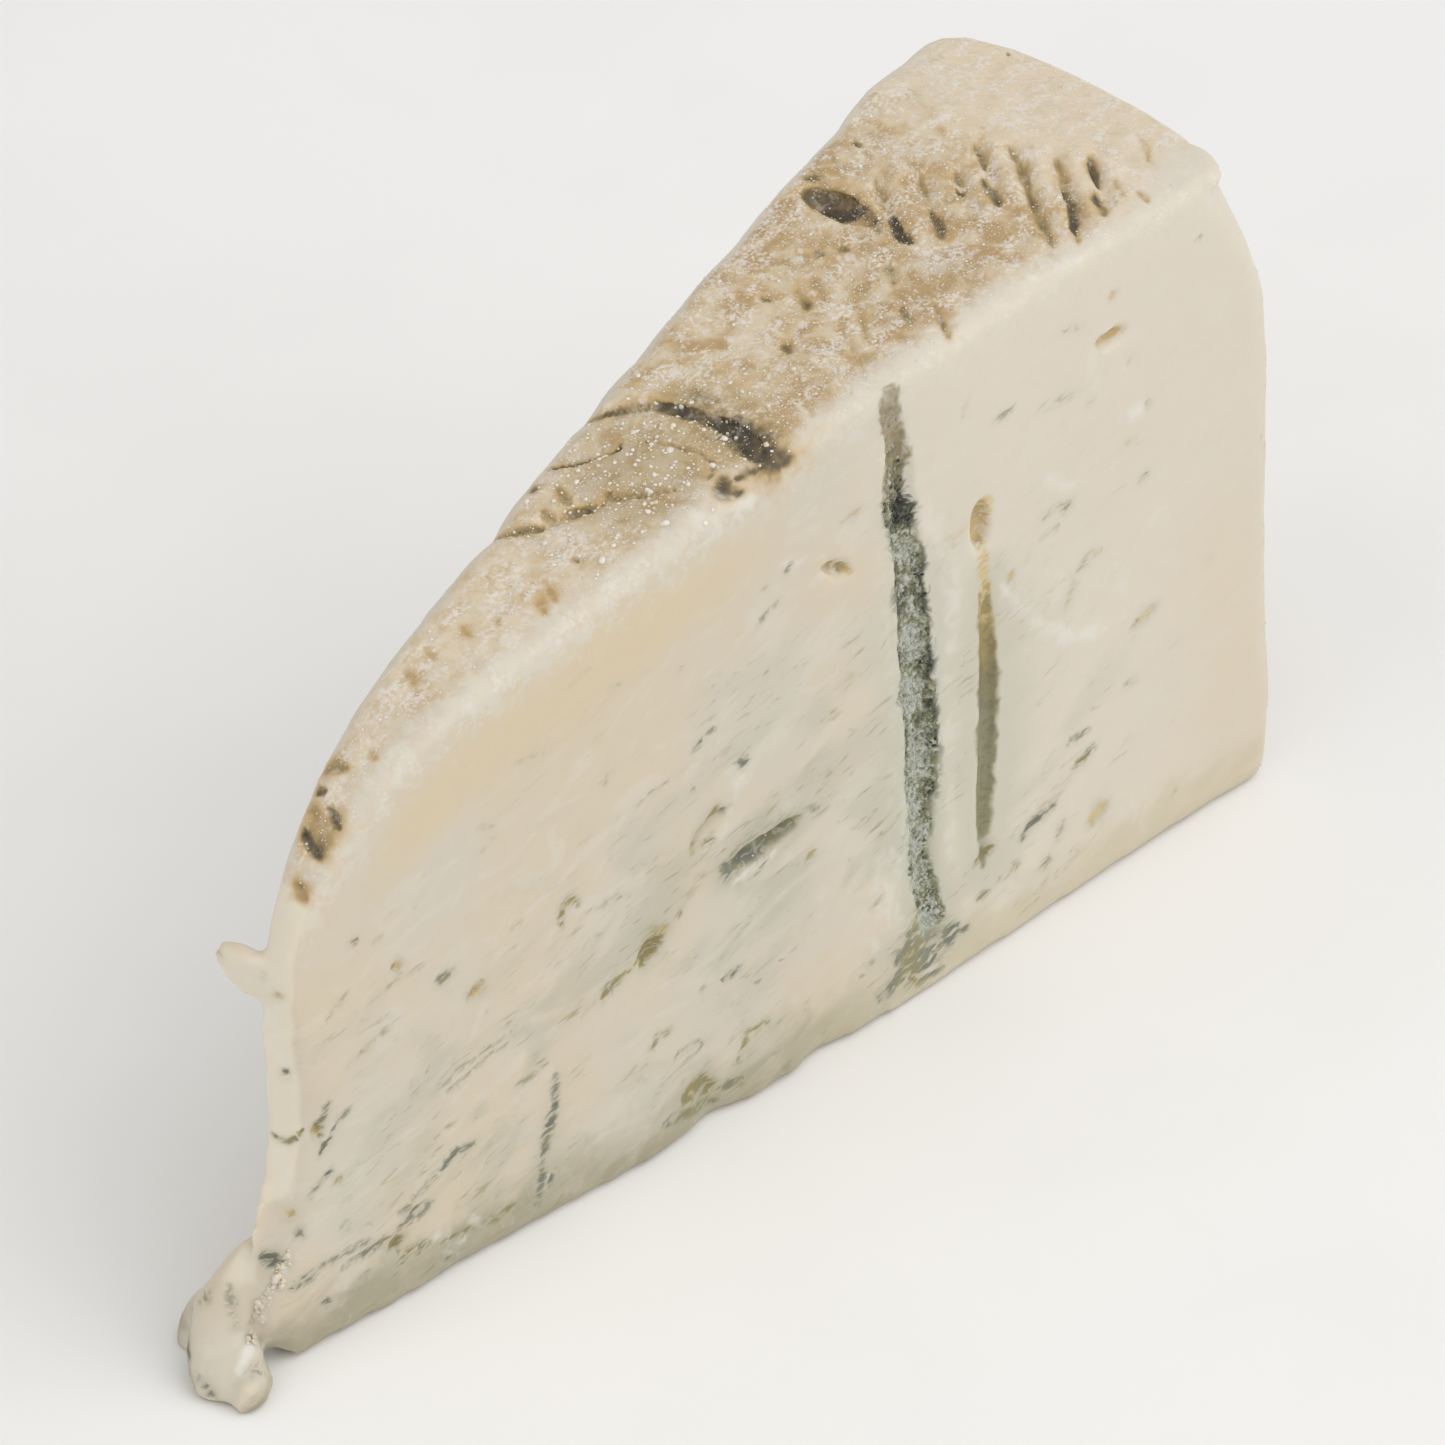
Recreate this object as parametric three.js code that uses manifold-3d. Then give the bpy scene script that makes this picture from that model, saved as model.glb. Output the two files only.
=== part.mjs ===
// A wedge of soft blue cheese, cut from half a wheel. Millimetres and +Z up.
// It is shaped with the wheel's axis at X = Y = 0 and the wedge running along +X, from its nose to the
// rim. The last step puts the origin under the middle of the finished wedge.
import * as THREE from "three";
import { mergeVertices } from "three/addons/utils/BufferGeometryUtils.js";
import Module from "manifold-3d";

const wasm = await Module();
wasm.setup();

const { clamp, degToRad, lerp } = THREE.MathUtils;
const { Vector3 } = THREE;

// The wheel is 30 cm across, and 80 mm deep once it is halved level. The wedge's tip is cut off blunt.
const WHEEL_RADIUS = 150;
const WHEEL_DEPTH = 80.2;
const WEDGE_ANGLE = degToRad(15.5);
const NOSE_RADIUS = 13.6;

// Height of the rind by distance from the wheel's axis: level at the rim, slumped at the nose.
const TOP_LINE = [
  [13.6, 50.2],
  [15.4, 53.2],
  [17.9, 57],
  [21.1, 60.6],
  [26.4, 64.5],
  [36, 68.3],
  [54, 71.6],
  [74, 74.9],
  [95, 78],
  [110, 79.4],
  [134, 80.2],
];
// Distance of the rim from the axis by height, in the middle of the wedge.
const RIM_LINE = [
  [0, 149],
  [9, 150],
  [22, 148.8],
  [45, 148.1],
  [60, 147.6],
  [70, 147],
  [80.2, 145.6],
];
// Towards the top the rim falls back: a lean that grows to the near cut, and a drop at both corners.
const RIM_LEAN = 4.4;
const RIM_CORNER_DROP = 3.4;
const RIM_CORNER_POWER = 6;
const SHOULDER_LINE = [
  [55, 0],
  [62, 0.05],
  [69, 0.34],
  [75, 0.7],
  [80.2, 1],
];
// Distance of the nose from the axis by height, along its near and its far edge.
const NEAR_NOSE_LINE = [
  [0, 11.8],
  [4, 10.6],
  [9, 11.3],
  [15, 13.8],
  [22, 13.7],
  [31, 15.2],
  [43, 13.4],
  [51, 13.6],
];
const FAR_NOSE_LINE = [
  [0, 9.4],
  [16, 9.1],
  [22, 11.9],
  [28, 13],
  [38, 12.3],
  [51, 13.8],
];

// Cross folds in the rind, deepest at the far cut: distance from the axis, depth, half-length.
const FOLDS = [
  [56.2, 1.5, 1.7],
  [66.2, 0.3, 1.4],
  [73.4, 0.9, 1.4],
  [83.9, 0.7, 1.6],
  [91.6, 0.5, 1.4],
  [102, 0.7, 3.6],
  [122.6, 0.4, 1.2],
  [129, -1.5, 5],
];
const FOLD_FADE_POWER = 1.5;
// Slow swells along the rind, which start clear of the nose.
const RIND_SWELL = { height: 0.35, length: 9, from: 20, reach: 20 };
// How far the foot of each cut spreads, by distance from the axis, and the notches between its scallops:
// distance from the axis, depth, half-length.
const SPREAD_LINE = [
  [17, 0],
  [33, 0.4],
  [45, 0.8],
  [58, 1.7],
  [80, 1.7],
  [98, 1.4],
  [112, 0.9],
  [124, 0.4],
  [136, 0],
];
const SCALLOP_NOTCHES = [
  [34, 0.3, 2.4],
  [67.8, 1.4, 3],
  [83.2, 0.9, 3],
];
const SPREAD_HEIGHT = 7;

// Rounding of the solid's edges, and the most of its width that one of them takes.
const TOP_EDGE_RADIUS = 2.2;
const BOTTOM_EDGE_RADIUS = 1.2;
const EDGE_WIDTH_SHARE = 0.36;

// The soft paste swells this far out of the planes it was cut along, clear of the nose.
const CUT_SWELL = { height: 0.6, from: 10, reach: 16 };

// The paste that has slid down the nose and out onto the table: a path and, by share of its length, its
// half-width and half-thickness. It is widest where it meets the table.
const SMEAR_PATH = [
  [11.6, 1.9, 15],
  [10.6, 2.8, 11.3],
  [9.6, 3.6, 8],
  [7.6, 4, 4.8],
  [6, 1.7, 2.3],
  [3.4, -1.5, 1.1],
];
const SMEAR_WIDTHS = [
  [0, 1],
  [0.2, 1.9],
  [0.42, 2.9],
  [0.62, 3.4],
  [0.85, 4.2],
  [1, 4.2],
];
const SMEAR_THICKNESSES = [
  [0, 1.2],
  [0.4, 2.6],
  [0.7, 2.8],
  [1, 1.8],
];
const SMEAR_OUT = [-0.55, -0.43, 0.71];
// The toe beside its end, and the lobe behind it against the far cut.
const TOE = [[5.7, -1.7, 1.2], [3.3, 2, 2], [1, 0.45, 0]];
const BACK_LOBE = [[9.8, 7.3, 2], [4.6, 2.6, 3], [0.3, -0.2, 1]];
// The gap under the near corner of the nose, beside the toe.
const TOE_GAP = [[10.8, -0.4, 0.85], [4.4, 1.15, 1.95], [-0.63, -0.49, 0.6]];
// A flap of paste that stands off the top of the nose, behind the far cut.
const FLAP = [[13.6, 3.2, 45.2], [4.4, 1.2, 3.5], [-0.08, 1, 0.18]];
// A lip of rind at the near top corner of the rim, and a roll of rind between two creases.
const RIM_LIP = [[139.1, -15.4, 79.1], [3.8, 2, 1.4], [0.42, 0.9, 0]];
const RIND_ROLL = [[67.6, 0.4, 72.6], [7.4, 4, 1.9], [0.8, -0.45, 0.13]];

// The two cuts, by the side of the wedge they are on.
const NEAR = -1;
const FAR = 1;
// Needle holes lined with mould, cut lengthwise: their cut, half-width, depth and a path by distance from
// the axis and height.
const VEINS = [
  [NEAR, 2.1, 0.9, [[93, 75.5], [94.2, 66], [95.7, 53.7], [96.9, 40], [97.9, 24], [98.6, 12], [98.9, 5]]],
  [NEAR, 1.25, 0.7, [[106.8, 47], [107.2, 36], [107.1, 24], [107, 11]]],
  [FAR, 1.6, 0.8, [[70.5, 66], [71.6, 45], [71, 24], [71.8, 8]]],
];
// Pits and cracks: their cut, distance from the axis, height, half-length, half-width, depth and slope.
const PITS = [
  [NEAR, 105.8, 54, 3.3, 1.4, 1.6, 95],
  [NEAR, 85.6, 58.9, 2.3, 0.8, 1.2, -33],
  [NEAR, 87.4, 63.7, 0.9, 0.6, 0.6, -20],
  [NEAR, 123.8, 67.9, 2.3, 1, 1.4, 5],
  [NEAR, 126.4, 63.7, 0.7, 0.6, 0.7, 0],
  [NEAR, 124.6, 7.5, 1.1, 0.8, 1, 0],
  [NEAR, 75.8, 30.1, 4.8, 1.1, 1.8, 4],
  [NEAR, 68.3, 36.2, 3, 0.8, 1.1, 25],
  [NEAR, 59.9, 25.2, 1.9, 1.2, 0.8, 50],
  [NEAR, 36.9, 33.2, 0.9, 0.6, 0.6, 20],
  [NEAR, 33, 36.3, 0.9, 0.6, 0.6, 0],
  [NEAR, 25.7, 7.6, 1.8, 1, 0.8, 10],
  [NEAR, 16, 27.4, 1.3, 0.8, 1, -10],
  [FAR, 118, 58, 3.2, 1.1, 1.4, 12],
  [FAR, 97, 33, 4.2, 1, 1.5, -8],
  [FAR, 48, 41, 2.4, 0.9, 1.1, 20],
  [FAR, 86, 17, 1.6, 1, 1, 0],
];
// Short parallel grooves pressed into the rind: where each starts on plan, and its length.
const RIND_GROOVES = [
  [133, -6.5, 9.7],
  [130.9, -3.6, 14.6],
  [129.7, 0.9, 16.2],
  [128.3, 4.1, 10.3],
  [123.3, 2.8, 8.9],
  [119.9, 5, 10.7],
  [116.7, 7.8, 11.2],
];
const RIND_GROOVE_HEADING = degToRad(230);
const RIND_GROOVE_SIZE = [0.95, 0.75];
// Creases in the rind between its folds: half-width, depth and a path on plan.
const CREASES = [
  [1, 0.9, [[73.5, 8.5], [77, 4.5], [78.4, 0], [78.2, -6], [75.6, -9.6]]],
  [0.8, 0.8, [[54, 5.8], [58.2, 3.6], [61.5, 1.6], [66, -1.2], [69, -4.4]]],
  [0.8, 0.7, [[71.5, 3.2], [68.6, 6], [65, 8]]],
];
// The hole where mould has eaten into the rind.
const MOULD_HOLE = [[110.9, 8.2], [4.8, 2.1, 1.9], [0, 1, 0]];

// Steps of the body's mesh: along the wedge, across it and up.
const STEP_ALONG = 3.6;
const STEPS_ACROSS = 10;
const STEPS_UP = 13;
const LEAST_STEP = 0.4;
// Shares of the wedge's length where it is divided more finely, for the roundings at its two ends.
const END_SHARES = [0, 0.004, 0.011, 0.022, 0.036, 0.982, 0.992, 1];
// Rounds of working out a point's radius and height from each other.
const SETTLING_ROUNDS = 4;
// Steps along a tube, steps of one side of its section, the share of its width that its ends keep, and
// how bluntly it ends.
const TUBE_STEPS = 10;
const GROOVE_SIDES = 2;
const SMEAR_SIDES = 4;
const TUBE_END_SHARE = 0.2;
const TUBE_BLUNTNESS = 6;

const MERGE_DISTANCE = 1e-4;

// Value of a line of [at, value] points, by a smooth curve through them.
function along(line, at) {
  const last = line.length - 1;
  const x = clamp(at, line[0][0], line[last][0]);
  const i = clamp(line.findIndex(([end]) => end >= x) - 1, 0, last - 1);
  const slope = (j) => {
    const [a, b] = [Math.max(j - 1, 0), Math.min(j + 1, last)];
    return (line[b][1] - line[a][1]) / (line[b][0] - line[a][0]);
  };
  const [[x0, y0], [x1, y1]] = [line[i], line[i + 1]];
  const span = x1 - x0;
  const t = (x - x0) / span;
  const rise = y1 - y0;
  const bend = (slope(i) * span - rise) * (1 - t) - (slope(i + 1) * span - rise) * t;
  return y0 + rise * t + t * (1 - t) * bend;
}

// A bell of height 1 and half-length 1.
function bell(x) {
  return Math.exp(-x * x);
}

// Sum of bells, each given by its place, height and half-length.
function bells(list, x) {
  return list.reduce((sum, [at, height, reach]) => sum + height * bell((x - at) / reach), 0);
}

// Share of an effect at a distance from the axis, growing from none to all of it.
function grown(r, { from, reach }) {
  return clamp((r - from) / reach, 0, 1);
}

// Height of the rind, with folds that fade from the far cut (across = 1) to the near one (-1).
function rindHeight(r, across) {
  const fade = clamp((1 + across) / 2, 0, 1) ** FOLD_FADE_POWER;
  const swell = RIND_SWELL.height * Math.sin(r / RIND_SWELL.length + across) * bell(across);
  return along(TOP_LINE, r) - fade * bells(FOLDS, r) + swell * grown(r, RIND_SWELL);
}

function noseRadius(across, z) {
  return lerp(along(NEAR_NOSE_LINE, z), along(FAR_NOSE_LINE, z), (1 + across) / 2);
}

function rimRadius(across, z) {
  const inset = RIM_LEAN * ((1 - across) / 2) ** 2 + RIM_CORNER_DROP * across ** RIM_CORNER_POWER;
  return along(RIM_LINE, z) - along(SHOULDER_LINE, z) * inset;
}

// How far a cut stands out of its plane: a little all over, and more near its foot.
function cutSwell(r, z) {
  const scallops = along(SPREAD_LINE, r) - bells(SCALLOP_NOTCHES, r);
  return CUT_SWELL.height * grown(r, CUT_SWELL) + scallops * bell(z / SPREAD_HEIGHT);
}

// Signed share of the rounding, 1 at the high end, -1 at the low end and 0 between.
function edgeShare(share, length, radius) {
  const low = Math.max(0, 1 - (share * length) / radius);
  const high = Math.max(0, 1 - ((1 - share) * length) / radius);
  return high - low;
}

// Point of the body's skin. u runs from nose to rim, v from the near to the far cut and w upwards.
function bodyPoint(u, v, w) {
  const across = 2 * v - 1;
  let r = lerp(NOSE_RADIUS, WHEEL_RADIUS, u);
  let z = 0;
  for (let round = 0; round < SETTLING_ROUNDS; round++) {
    z = w * rindHeight(r, across);
    r = lerp(noseRadius(across, z), rimRadius(across, z), u);
  }
  const width = 2 * r * Math.sin(WEDGE_ANGLE / 2);
  const edge = lerp(BOTTOM_EDGE_RADIUS, TOP_EDGE_RADIUS, w);
  const radius = Math.min(edge, EDGE_WIDTH_SHARE * width);
  const corner = new Vector3(
    edgeShare(u, WHEEL_RADIUS, radius),
    edgeShare(v, width, radius),
    edgeShare(w, WHEEL_DEPTH, radius),
  );
  const rounding = corner.clone().normalize().sub(corner).multiplyScalar(radius);
  const angle = (across * WEDGE_ANGLE) / 2;
  const outwards = rounding.y + across * cutSwell(r, z);
  const radial = new THREE.Vector2(Math.cos(angle), Math.sin(angle)).multiplyScalar(r + rounding.x);
  const sideways = new THREE.Vector2(-Math.sin(angle), Math.cos(angle)).multiplyScalar(outwards);
  return [radial.x + sideways.x, radial.y + sideways.y, z + rounding.z];
}

// Shares along the wedge: even steps, and one on each fold and each side of it.
function stations() {
  const length = along(RIM_LINE, WHEEL_DEPTH) - NOSE_RADIUS;
  const shareOf = (r) => (r - NOSE_RADIUS) / length;
  const fixed = FOLDS.flatMap(([at, , reach]) => [at - reach, at, at + reach]).map(shareOf);
  const shares = [...END_SHARES, ...fixed];
  const count = Math.round(length / STEP_ALONG);
  for (let i = 1; i < count; i++) {
    const free = shares.every((s) => Math.abs(s - i / count) * length > STEP_ALONG / 2);
    if (free) shares.push(i / count);
  }
  shares.sort((a, b) => a - b);
  return shares.filter((s, i) => i === 0 || s === 1 || (s - shares[i - 1]) * length > LEAST_STEP);
}

function evenShares(count) {
  return Array.from({ length: count + 1 }, (_, i) => i / count);
}

// Shares from 0 to 1 that close up towards both ends, where the edges are rounded.
function closingShares(count) {
  return Array.from({ length: count + 1 }, (_, i) => (1 - Math.cos((Math.PI * i) / count)) / 2);
}

function solidOf(geometry) {
  const bare = new THREE.BufferGeometry();
  bare.setAttribute("position", geometry.getAttribute("position"));
  bare.setIndex(geometry.index);
  const merged = mergeVertices(bare, MERGE_DISTANCE);
  return new wasm.Manifold(
    new wasm.Mesh({
      numProp: 3,
      vertProperties: new Float32Array(merged.attributes.position.array),
      triVerts: new Uint32Array(merged.index.array),
    }),
  );
}

// Closed skin of a box of steps, its points placed by a function of three shares.
function latticeSolid(shares, place) {
  const counts = shares.map((list) => list.length - 1);
  const positions = [];
  const triangles = [];
  const known = new Map();
  const vertex = (steps) => {
    const key = steps.join();
    if (!known.has(key)) {
      known.set(key, positions.length / 3);
      positions.push(...place(...steps.map((step, axis) => shares[axis][step])));
    }
    return known.get(key);
  };
  for (let normal = 0; normal < 3; normal++) {
    const [a, b] = [(normal + 1) % 3, (normal + 2) % 3];
    for (const side of [0, counts[normal]]) {
      for (let p = 0; p < counts[a]; p++) {
        for (let q = 0; q < counts[b]; q++) {
          const corner = (dp, dq) => {
            const steps = [side, side, side];
            steps[a] = p + dp;
            steps[b] = q + dq;
            return vertex(steps);
          };
          const ring = [corner(0, 0), corner(1, 0), corner(1, 1), corner(0, 1)];
          if (side === 0) ring.reverse();
          triangles.push(ring[0], ring[1], ring[2], ring[0], ring[2], ring[3]);
        }
      }
    }
  }
  const geometry = new THREE.BufferGeometry();
  geometry.setAttribute("position", new THREE.Float32BufferAttribute(positions, 3));
  geometry.setIndex(triangles);
  return solidOf(geometry);
}

// Ball stretched to three half-lengths, the first along a direction.
function lobe(centre, halves, direction, detail = 2) {
  const geometry = new THREE.IcosahedronGeometry(1, detail).scale(...halves);
  const forward = new Vector3(...direction).normalize();
  geometry.applyQuaternion(new THREE.Quaternion().setFromUnitVectors(new Vector3(1, 0, 0), forward));
  return solidOf(geometry.translate(...centre));
}

// Closed tube along a smooth path. out points away from the face it lies on, and sizeAt gives its
// half-width and half-thickness at a share of its length.
function tube(path, out, sides, sizeAt) {
  const curve = new THREE.CatmullRomCurve3(path);
  return latticeSolid([closingShares(TUBE_STEPS), evenShares(sides), evenShares(sides)], (u, v, w) => {
    const [across, up] = [2 * v - 1, 2 * w - 1];
    const [halfWidth, halfThickness] = sizeAt(u);
    const tangent = curve.getTangentAt(u);
    const side = out.clone().cross(tangent).normalize();
    const squareness = Math.max(Math.abs(across), Math.abs(up)) / (Math.hypot(across, up) || 1);
    const narrowing = squareness * Math.max(TUBE_END_SHARE, Math.sqrt(1 - (2 * u - 1) ** TUBE_BLUNTNESS));
    const point = curve.getPointAt(u);
    point.addScaledVector(side, across * halfWidth * narrowing);
    point.addScaledVector(tangent.cross(side), up * halfThickness * narrowing);
    return point.toArray();
  });
}

const UP = new Vector3(0, 0, 1);

// Direction out of a cut, and direction along it from nose to rim.
function cutOut(cut) {
  return new Vector3(-Math.sin(WEDGE_ANGLE / 2), cut * Math.cos(WEDGE_ANGLE / 2), 0);
}

function cutAlong(cut) {
  return new Vector3(Math.cos(WEDGE_ANGLE / 2), cut * Math.sin(WEDGE_ANGLE / 2), 0);
}

// Point on a cut, by distance from the axis and height.
function onCut(cut, r, z) {
  const flat = cutAlong(cut).multiplyScalar(r).addScaledVector(UP, z);
  return flat.addScaledVector(cutOut(cut), cutSwell(r, z));
}

// Point on the rind over a place on plan.
function onRind(x, y) {
  const across = Math.atan2(y, x) / (WEDGE_ANGLE / 2);
  return new Vector3(x, y, rindHeight(Math.hypot(x, y), across));
}

function groove(path, out, size) {
  return tube(path, out, GROOVE_SIDES, () => size);
}

function veins() {
  return VEINS.map(([cut, halfWidth, depth, path]) => {
    return groove(path.map((place) => onCut(cut, ...place)), cutOut(cut), [halfWidth, depth]);
  });
}

function pits() {
  return PITS.map(([cut, r, z, halfLength, halfWidth, depth, slope]) => {
    const direction = UP.clone().multiplyScalar(Math.sin(degToRad(slope)));
    direction.addScaledVector(cutAlong(cut), Math.cos(degToRad(slope)));
    return lobe(onCut(cut, r, z).toArray(), [halfLength, depth, halfWidth], direction.toArray(), 1);
  });
}

function rindGrooves() {
  return RIND_GROOVES.map(([x, y, length]) => {
    const run = [length * Math.cos(RIND_GROOVE_HEADING), length * Math.sin(RIND_GROOVE_HEADING)];
    const path = [0, 0.5, 1].map((share) => onRind(x + share * run[0], y + share * run[1]));
    return groove(path, UP, RIND_GROOVE_SIZE);
  });
}

function creases() {
  return CREASES.map(([halfWidth, depth, path]) => {
    return groove(path.map((place) => onRind(...place)), UP, [halfWidth, depth]);
  });
}

function smear() {
  const path = SMEAR_PATH.map((place) => new Vector3(...place));
  return tube(path, new Vector3(...SMEAR_OUT), SMEAR_SIDES, (share) => {
    return [along(SMEAR_WIDTHS, share), along(SMEAR_THICKNESSES, share)];
  });
}

function mouldHole() {
  const [place, halves, direction] = MOULD_HOLE;
  return lobe(onRind(...place).toArray(), halves, direction);
}

// The body with all that stands out of it joined on, then all that is sunk in it cut away.
function wedgeSolid() {
  const block = latticeSolid([stations(), closingShares(STEPS_ACROSS), closingShares(STEPS_UP)], bodyPoint);
  const body = block.subtract(lobe(...TOE_GAP));
  const lobes = [TOE, BACK_LOBE, FLAP, RIM_LIP, RIND_ROLL].map((sizes) => lobe(...sizes));
  const table = solidOf(new THREE.BoxGeometry(2 * WHEEL_RADIUS, WHEEL_RADIUS, WHEEL_DEPTH));
  const sunk = [...veins(), ...pits(), ...rindGrooves(), ...creases(), mouldHole()];
  const joined = [smear(), ...lobes].reduce((sum, piece) => sum.add(piece), body);
  const cut = sunk.reduce((rest, piece) => rest.subtract(piece), joined);
  return cut.subtract(table.translate(WHEEL_RADIUS, 0, -WHEEL_DEPTH / 2));
}

const { vertProperties, triVerts } = wedgeSolid().getMesh();
const geometry = new THREE.BufferGeometry();
geometry.setAttribute("position", new THREE.BufferAttribute(vertProperties, 3));
geometry.setIndex(new THREE.BufferAttribute(triVerts, 1));

// The origin goes under the middle of the wedge.
geometry.computeBoundingBox();
const middle = geometry.boundingBox.getCenter(new Vector3());
geometry.translate(-middle.x, -middle.y, -geometry.boundingBox.min.z);

const wedge = new THREE.Mesh(geometry, new THREE.MeshStandardMaterial({ color: "#d8ccb4", roughness: 0.55 }));
wedge.name = "wedge";
const group = new THREE.Group();
group.add(wedge);
export default group;
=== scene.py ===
"""A wedge of gorgonzola dressed on its CAD solid: cut paste, washed rind, salt crystals and mould."""

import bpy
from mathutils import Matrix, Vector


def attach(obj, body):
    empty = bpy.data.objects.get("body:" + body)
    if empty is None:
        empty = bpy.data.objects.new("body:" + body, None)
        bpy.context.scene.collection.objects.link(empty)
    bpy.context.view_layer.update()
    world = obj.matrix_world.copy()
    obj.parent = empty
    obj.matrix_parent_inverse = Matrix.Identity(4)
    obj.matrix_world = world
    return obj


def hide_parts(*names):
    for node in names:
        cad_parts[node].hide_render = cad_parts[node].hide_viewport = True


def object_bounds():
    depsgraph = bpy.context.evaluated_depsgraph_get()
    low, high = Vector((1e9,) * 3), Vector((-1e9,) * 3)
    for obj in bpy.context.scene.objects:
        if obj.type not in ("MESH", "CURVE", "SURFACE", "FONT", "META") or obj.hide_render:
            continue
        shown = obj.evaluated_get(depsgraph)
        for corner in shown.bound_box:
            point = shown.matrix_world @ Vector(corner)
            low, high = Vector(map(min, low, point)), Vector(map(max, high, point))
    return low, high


bl_info = {
    "name": "Gorgonzola Wedge",
    "version": (1, 0, 0),
    "blender": (4, 5, 0),
    "location": "3D Viewport > Sidebar > Cheese",
    "description": "Builds the paste, rind, crystals and mould of a blue cheese wedge on its CAD solid",
    "category": "Add Mesh",
}

import math

import bmesh
import bpy
import numpy as np
from bpy.props import FloatProperty, FloatVectorProperty, IntProperty, PointerProperty
from mathutils import Vector
from mathutils.bvhtree import BVHTree

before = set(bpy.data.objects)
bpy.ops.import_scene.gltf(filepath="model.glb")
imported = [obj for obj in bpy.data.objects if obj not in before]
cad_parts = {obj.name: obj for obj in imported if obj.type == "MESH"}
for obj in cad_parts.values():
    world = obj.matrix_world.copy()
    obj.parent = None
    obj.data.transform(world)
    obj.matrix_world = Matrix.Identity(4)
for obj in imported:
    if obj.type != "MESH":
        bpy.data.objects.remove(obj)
CAD_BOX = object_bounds()

MM = 0.001
# Where the wheel's axis stands, half of the wedge's angle, and the wheel's radius and depth, in mm.
AXIS_X = -75.934
HALF_ANGLE = math.radians(7.75)
WHEEL_RADIUS = 150.0
WHEEL_DEPTH = 80.2
# Height of the rind's line by distance from the axis.
TOP_LINE = (
    (13.6, 50.2), (15.4, 53.2), (17.9, 57.0), (21.1, 60.6), (26.4, 64.5), (36.0, 68.3),
    (54.0, 71.6), (74.0, 74.9), (95.0, 78.0), (110.0, 79.4), (134.0, 80.2),
)
# The two cuts, and directions out of them and along them, away from the axis.
NEAR, FAR = -1, 1
NEAR_OUT = np.array((-math.sin(HALF_ANGLE), -math.cos(HALF_ANGLE), 0.0))
FAR_OUT = np.array((-math.sin(HALF_ANGLE), math.cos(HALF_ANGLE), 0.0))
NEAR_ALONG = np.array((math.cos(HALF_ANGLE), -math.sin(HALF_ANGLE), 0.0))
FAR_ALONG = np.array((math.cos(HALF_ANGLE), math.sin(HALF_ANGLE), 0.0))


def drawn(heads, axes, rows):
    """Rows of numbers as tuples of their first ones and a path, whose points have so many axes."""
    return tuple(
        (*row[:heads], tuple(row[i:i + axes] for i in range(heads, len(row), axes)))
        for row in rows
    )


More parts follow.
